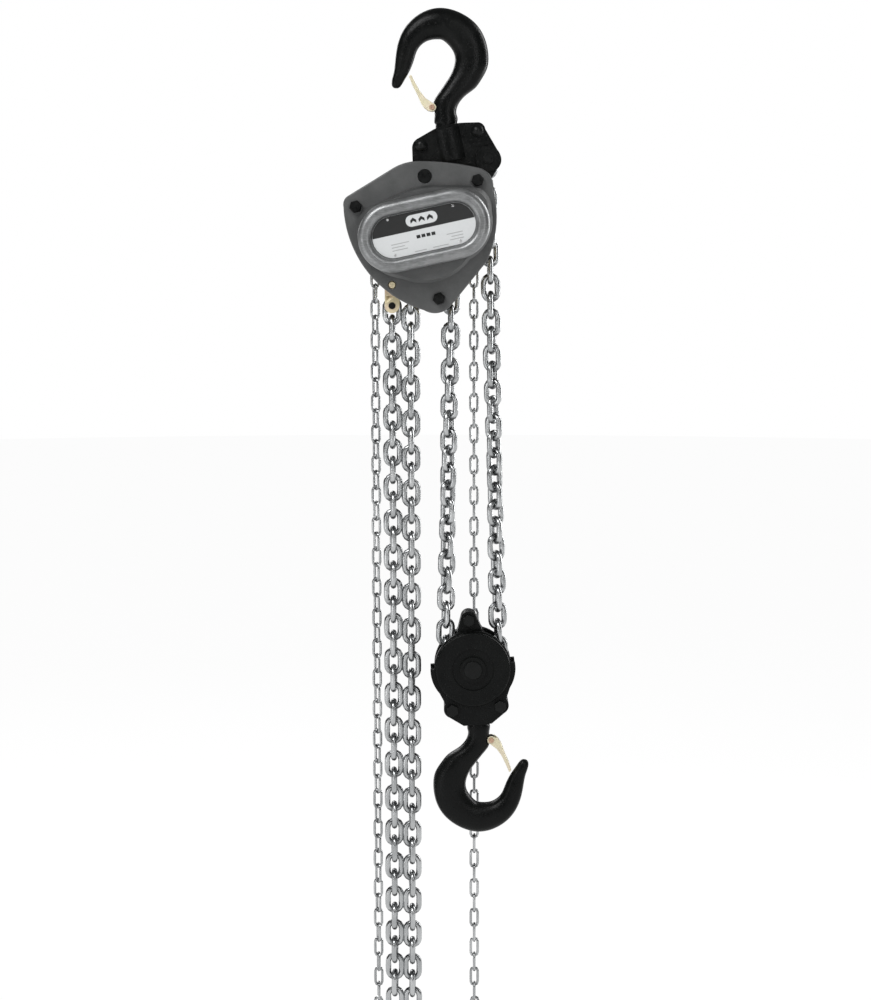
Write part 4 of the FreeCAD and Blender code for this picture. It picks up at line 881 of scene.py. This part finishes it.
def make_label():
    plate = prism("nameplate_plate", on_label(stadium(LABEL_HALF, LABEL_R, 28)),
                  LABEL_FACE, LABEL_FACE + 0.8 * MM, 0.2 * MM)
    give(plate, "frame", plate_pale, ["nameplate"])
    whole = stadium(LABEL_HALF, LABEL_R - 0.35 * MM, 28)
    ink("nameplate_band", clipped_above(whole, BAND_V), ink_black)
    badge = [(u, v + EMBLEM_V) for u, v in stadium(17 * MM, 9.5 * MM, 12)]
    ink("nameplate_badge", badge, plate_pale, 2)
    for k, u in enumerate((-14 * MM, 0.0, 14 * MM)):
        arrow = [(-5, -4.5), (0, -0.5), (5, -4.5), (5, 0.8), (0, 5), (-5, 0.8)]
        ink("nameplate_arrow_%d" % k, [(u + a * MM, EMBLEM_V + b * MM) for a, b in arrow], ink_black, 3)
    for k in range(4):
        ink("nameplate_block_%d" % k, rectangle((k * 8.4 - 11) * MM, -8 * MM, 6.4 * MM, 5.4 * MM), ink_black)
    rows = []
    for k, width in enumerate((30, 22, 26)):
        rows.append((-58 + width / 2, -12.5 - 5 * k, width))
        rows.append((62 - width / 2 * 0.9, -14.5 - 5 * k, width * 0.9))
    rows.append((-12, -31, 20))
    rows.append((22, -30.5, 26))
    for k, (u, v, width) in enumerate(rows):
        ink("nameplate_line_%d" % k, rectangle(u * MM, v * MM, width * MM, 1.3 * MM), ink_grey)


# ------------------------------------------------------------ fasteners
def facing(front):
    """Turn that stands +Z towards the gear cover's side, or away from it."""
    return math.radians(90 if front else -90)


def heads(name, node, spots, radius, height, sides, stud, material, spin=0.0):
    points = []
    for place, front in spots:
        turn = Matrix.Rotation(facing(front), 3, "X") @ Matrix.Rotation(math.radians(spin), 3, "Z")
        points.append((place, tuple(turn.to_euler("XYZ"))))
    piece = grown(name, HEAD_TREE, points, Radius=radius, Height=height, Sides=sides, Stud_Radius=stud[0],
                  Stud_Height=stud[1], Material=material)
    smooth(piece, 25)
    return give(piece, body_of_node[node], None, [node])


def make_fasteners():
    spots = []
    for low, high in islands("stay_nuts"):
        centre = (low + high) / 2
        front = centre.y < 0
        spots.append(((centre.x, high.y if front else low.y, centre.z), front))
    heads("stay_nuts_finished", "stay_nuts", spots, 19 * MM / math.sqrt(3), 9 * MM, 6, (7 * MM, 11.5 * MM),
          oxide_black, 15.0)
    spots = []
    for low, high in islands("nameplate_rivets"):
        centre = (low + high) / 2
        spots.append(((centre.x, high.y, centre.z), True))
    heads("nameplate_rivets_finished", "nameplate_rivets", spots, 2.0 * MM, 1.1 * MM, 14,
          (1.1 * MM, 1.2 * MM), rivet_bright)


# ------------------------------------------------------------ everything
def dress_nodes():
    for node in ("top_hook", "bottom_hook"):
        dress(node, hook_black, 0.6 * MM, 2, 40)
    for node in ("yoke_front", "yoke_rear", "block_front", "block_rear"):
        dress(node, cast_black, 1.2 * MM, 3)
    for node in ("yoke_bolts", "block_bolts", "chain_anchor_pin", "cover_plug", "idle_axle",
                 "tail_anchor_pin"):
        dress(node, oxide_black, 0.7 * MM)
    for node in ("front_side_plate", "rear_side_plate", "tail_anchor_plates", "tail_anchor_rivet"):
        dress(node, gold_zinc, 0.5 * MM)
    for node in ("top_latch", "bottom_latch"):
        dress(node, latch_cream, 0.5 * MM)
    for node in ("top_latch_pin", "bottom_latch_pin"):
        dress(node, copper, 0.5 * MM)
    dress("wheel_cover", cover_grey, 1.2 * MM, 3)
    dress("wheel_cover_screws", steel, 0.5 * MM)


def coat_the_rest():
    for name, node in frame["nodes"].items():
        if node.hide_render:
            continue
        node.data.materials.clear()
        node.data.materials.append(FINISH[slot_of_node[name]])


# ------------------------------------------------------------ studio
def make_floor():
    work = bmesh.new()
    bmesh.ops.create_circle(work, cap_ends=True, segments=96, radius=14.0)
    mesh = bpy.data.meshes.new("floor")
    work.to_mesh(mesh)
    work.free()
    floor = new_object("floor", mesh)
    floor.location.z = cad_low.z - 0.08
    material, tree, shader = blank("pale_floor")
    colour = mixed(tree, noise(tree, 0.6, 3.0), (0.05, 0.05, 0.05), (0.06, 0.06, 0.06))
    tree.links.new(colour, shader.inputs["Base Color"])
    shader.inputs["Roughness"].default_value = 0.8
    shader.inputs["Specular IOR Level"].default_value = 0.0
    shader.inputs["Emission Color"].default_value = (1.0, 1.0, 1.0, 1.0)
    shader.inputs["Emission Strength"].default_value = 0.96
    mesh.materials.append(material)


def area_light(name, place, target, size, power, colour=(1, 1, 1)):
    data = bpy.data.lights.new(name, "AREA")
    data.shape = "RECTANGLE"
    data.size = size[0]
    data.size_y = size[1]
    data.energy = power
    data.color = colour
    light = bpy.data.objects.new(name, data)
    bpy.context.scene.collection.objects.link(light)
    light.location = place
    light.rotation_euler = (Vector(target) - Vector(place)).to_track_quat("-Z", "Y").to_euler()


def make_world():
    """White behind the object, and a softer gradient for what it reflects."""
    world = bpy.data.worlds.new("studio")
    bpy.context.scene.world = world
    world.use_nodes = True
    tree = world.node_tree
    back = tree.nodes["Background"]
    direction = tree.nodes.new("ShaderNodeTexCoord").outputs["Generated"]
    parts = tree.nodes.new("ShaderNodeSeparateXYZ")
    tree.links.new(direction, parts.inputs["Vector"])
    height = ramp(tree, parts.outputs["Z"], -0.35, 0.9)
    sky = mixed(tree, height, (0.025, 0.025, 0.025), (0.26, 0.26, 0.26))
    path = tree.nodes.new("ShaderNodeLightPath")
    seen = mixed(tree, path.outputs["Is Camera Ray"], sky, (1.0, 1.0, 1.0))
    tree.links.new(seen, back.inputs["Color"])


def make_lights():
    area_light("key", (-1.6, -2.6, 1.9), (0.0, 0.0, -0.4), (1.5, 1.5), 92)
    area_light("front", (1.2, -3.4, 0.4), (0.0, 0.0, -0.8), (0.7, 2.6), 22)
    area_light("low", (-2.2, -2.4, -1.2), (0.0, 0.0, -1.0), (0.5, 2.4), 14)
    area_light("edge", (2.2, 1.2, 0.2), (0.0, 0.0, -0.8), (0.7, 2.8), 64)
    area_light("back", (-1.4, 2.8, 0.8), (0.0, 0.0, -0.6), (1.6, 2.0), 44)


def make_camera():
    data = bpy.data.cameras.new("camera")
    data.lens = 83.9
    data.sensor_width = 36.0
    camera = bpy.data.objects.new("camera", data)
    bpy.context.scene.collection.objects.link(camera)
    camera.location = (-0.005, -3.95, -0.3247)
    camera.rotation_euler = (math.radians(90 - 6.5), 0, 0)
    bpy.context.scene.camera = camera
    bpy.context.scene.view_settings.view_transform = "Standard"


make_load_chain()
make_hand_chain()
make_cover()
make_label()
make_fasteners()
dress_nodes()
coat_the_rest()
make_floor()
make_world()
make_lights()
make_camera()
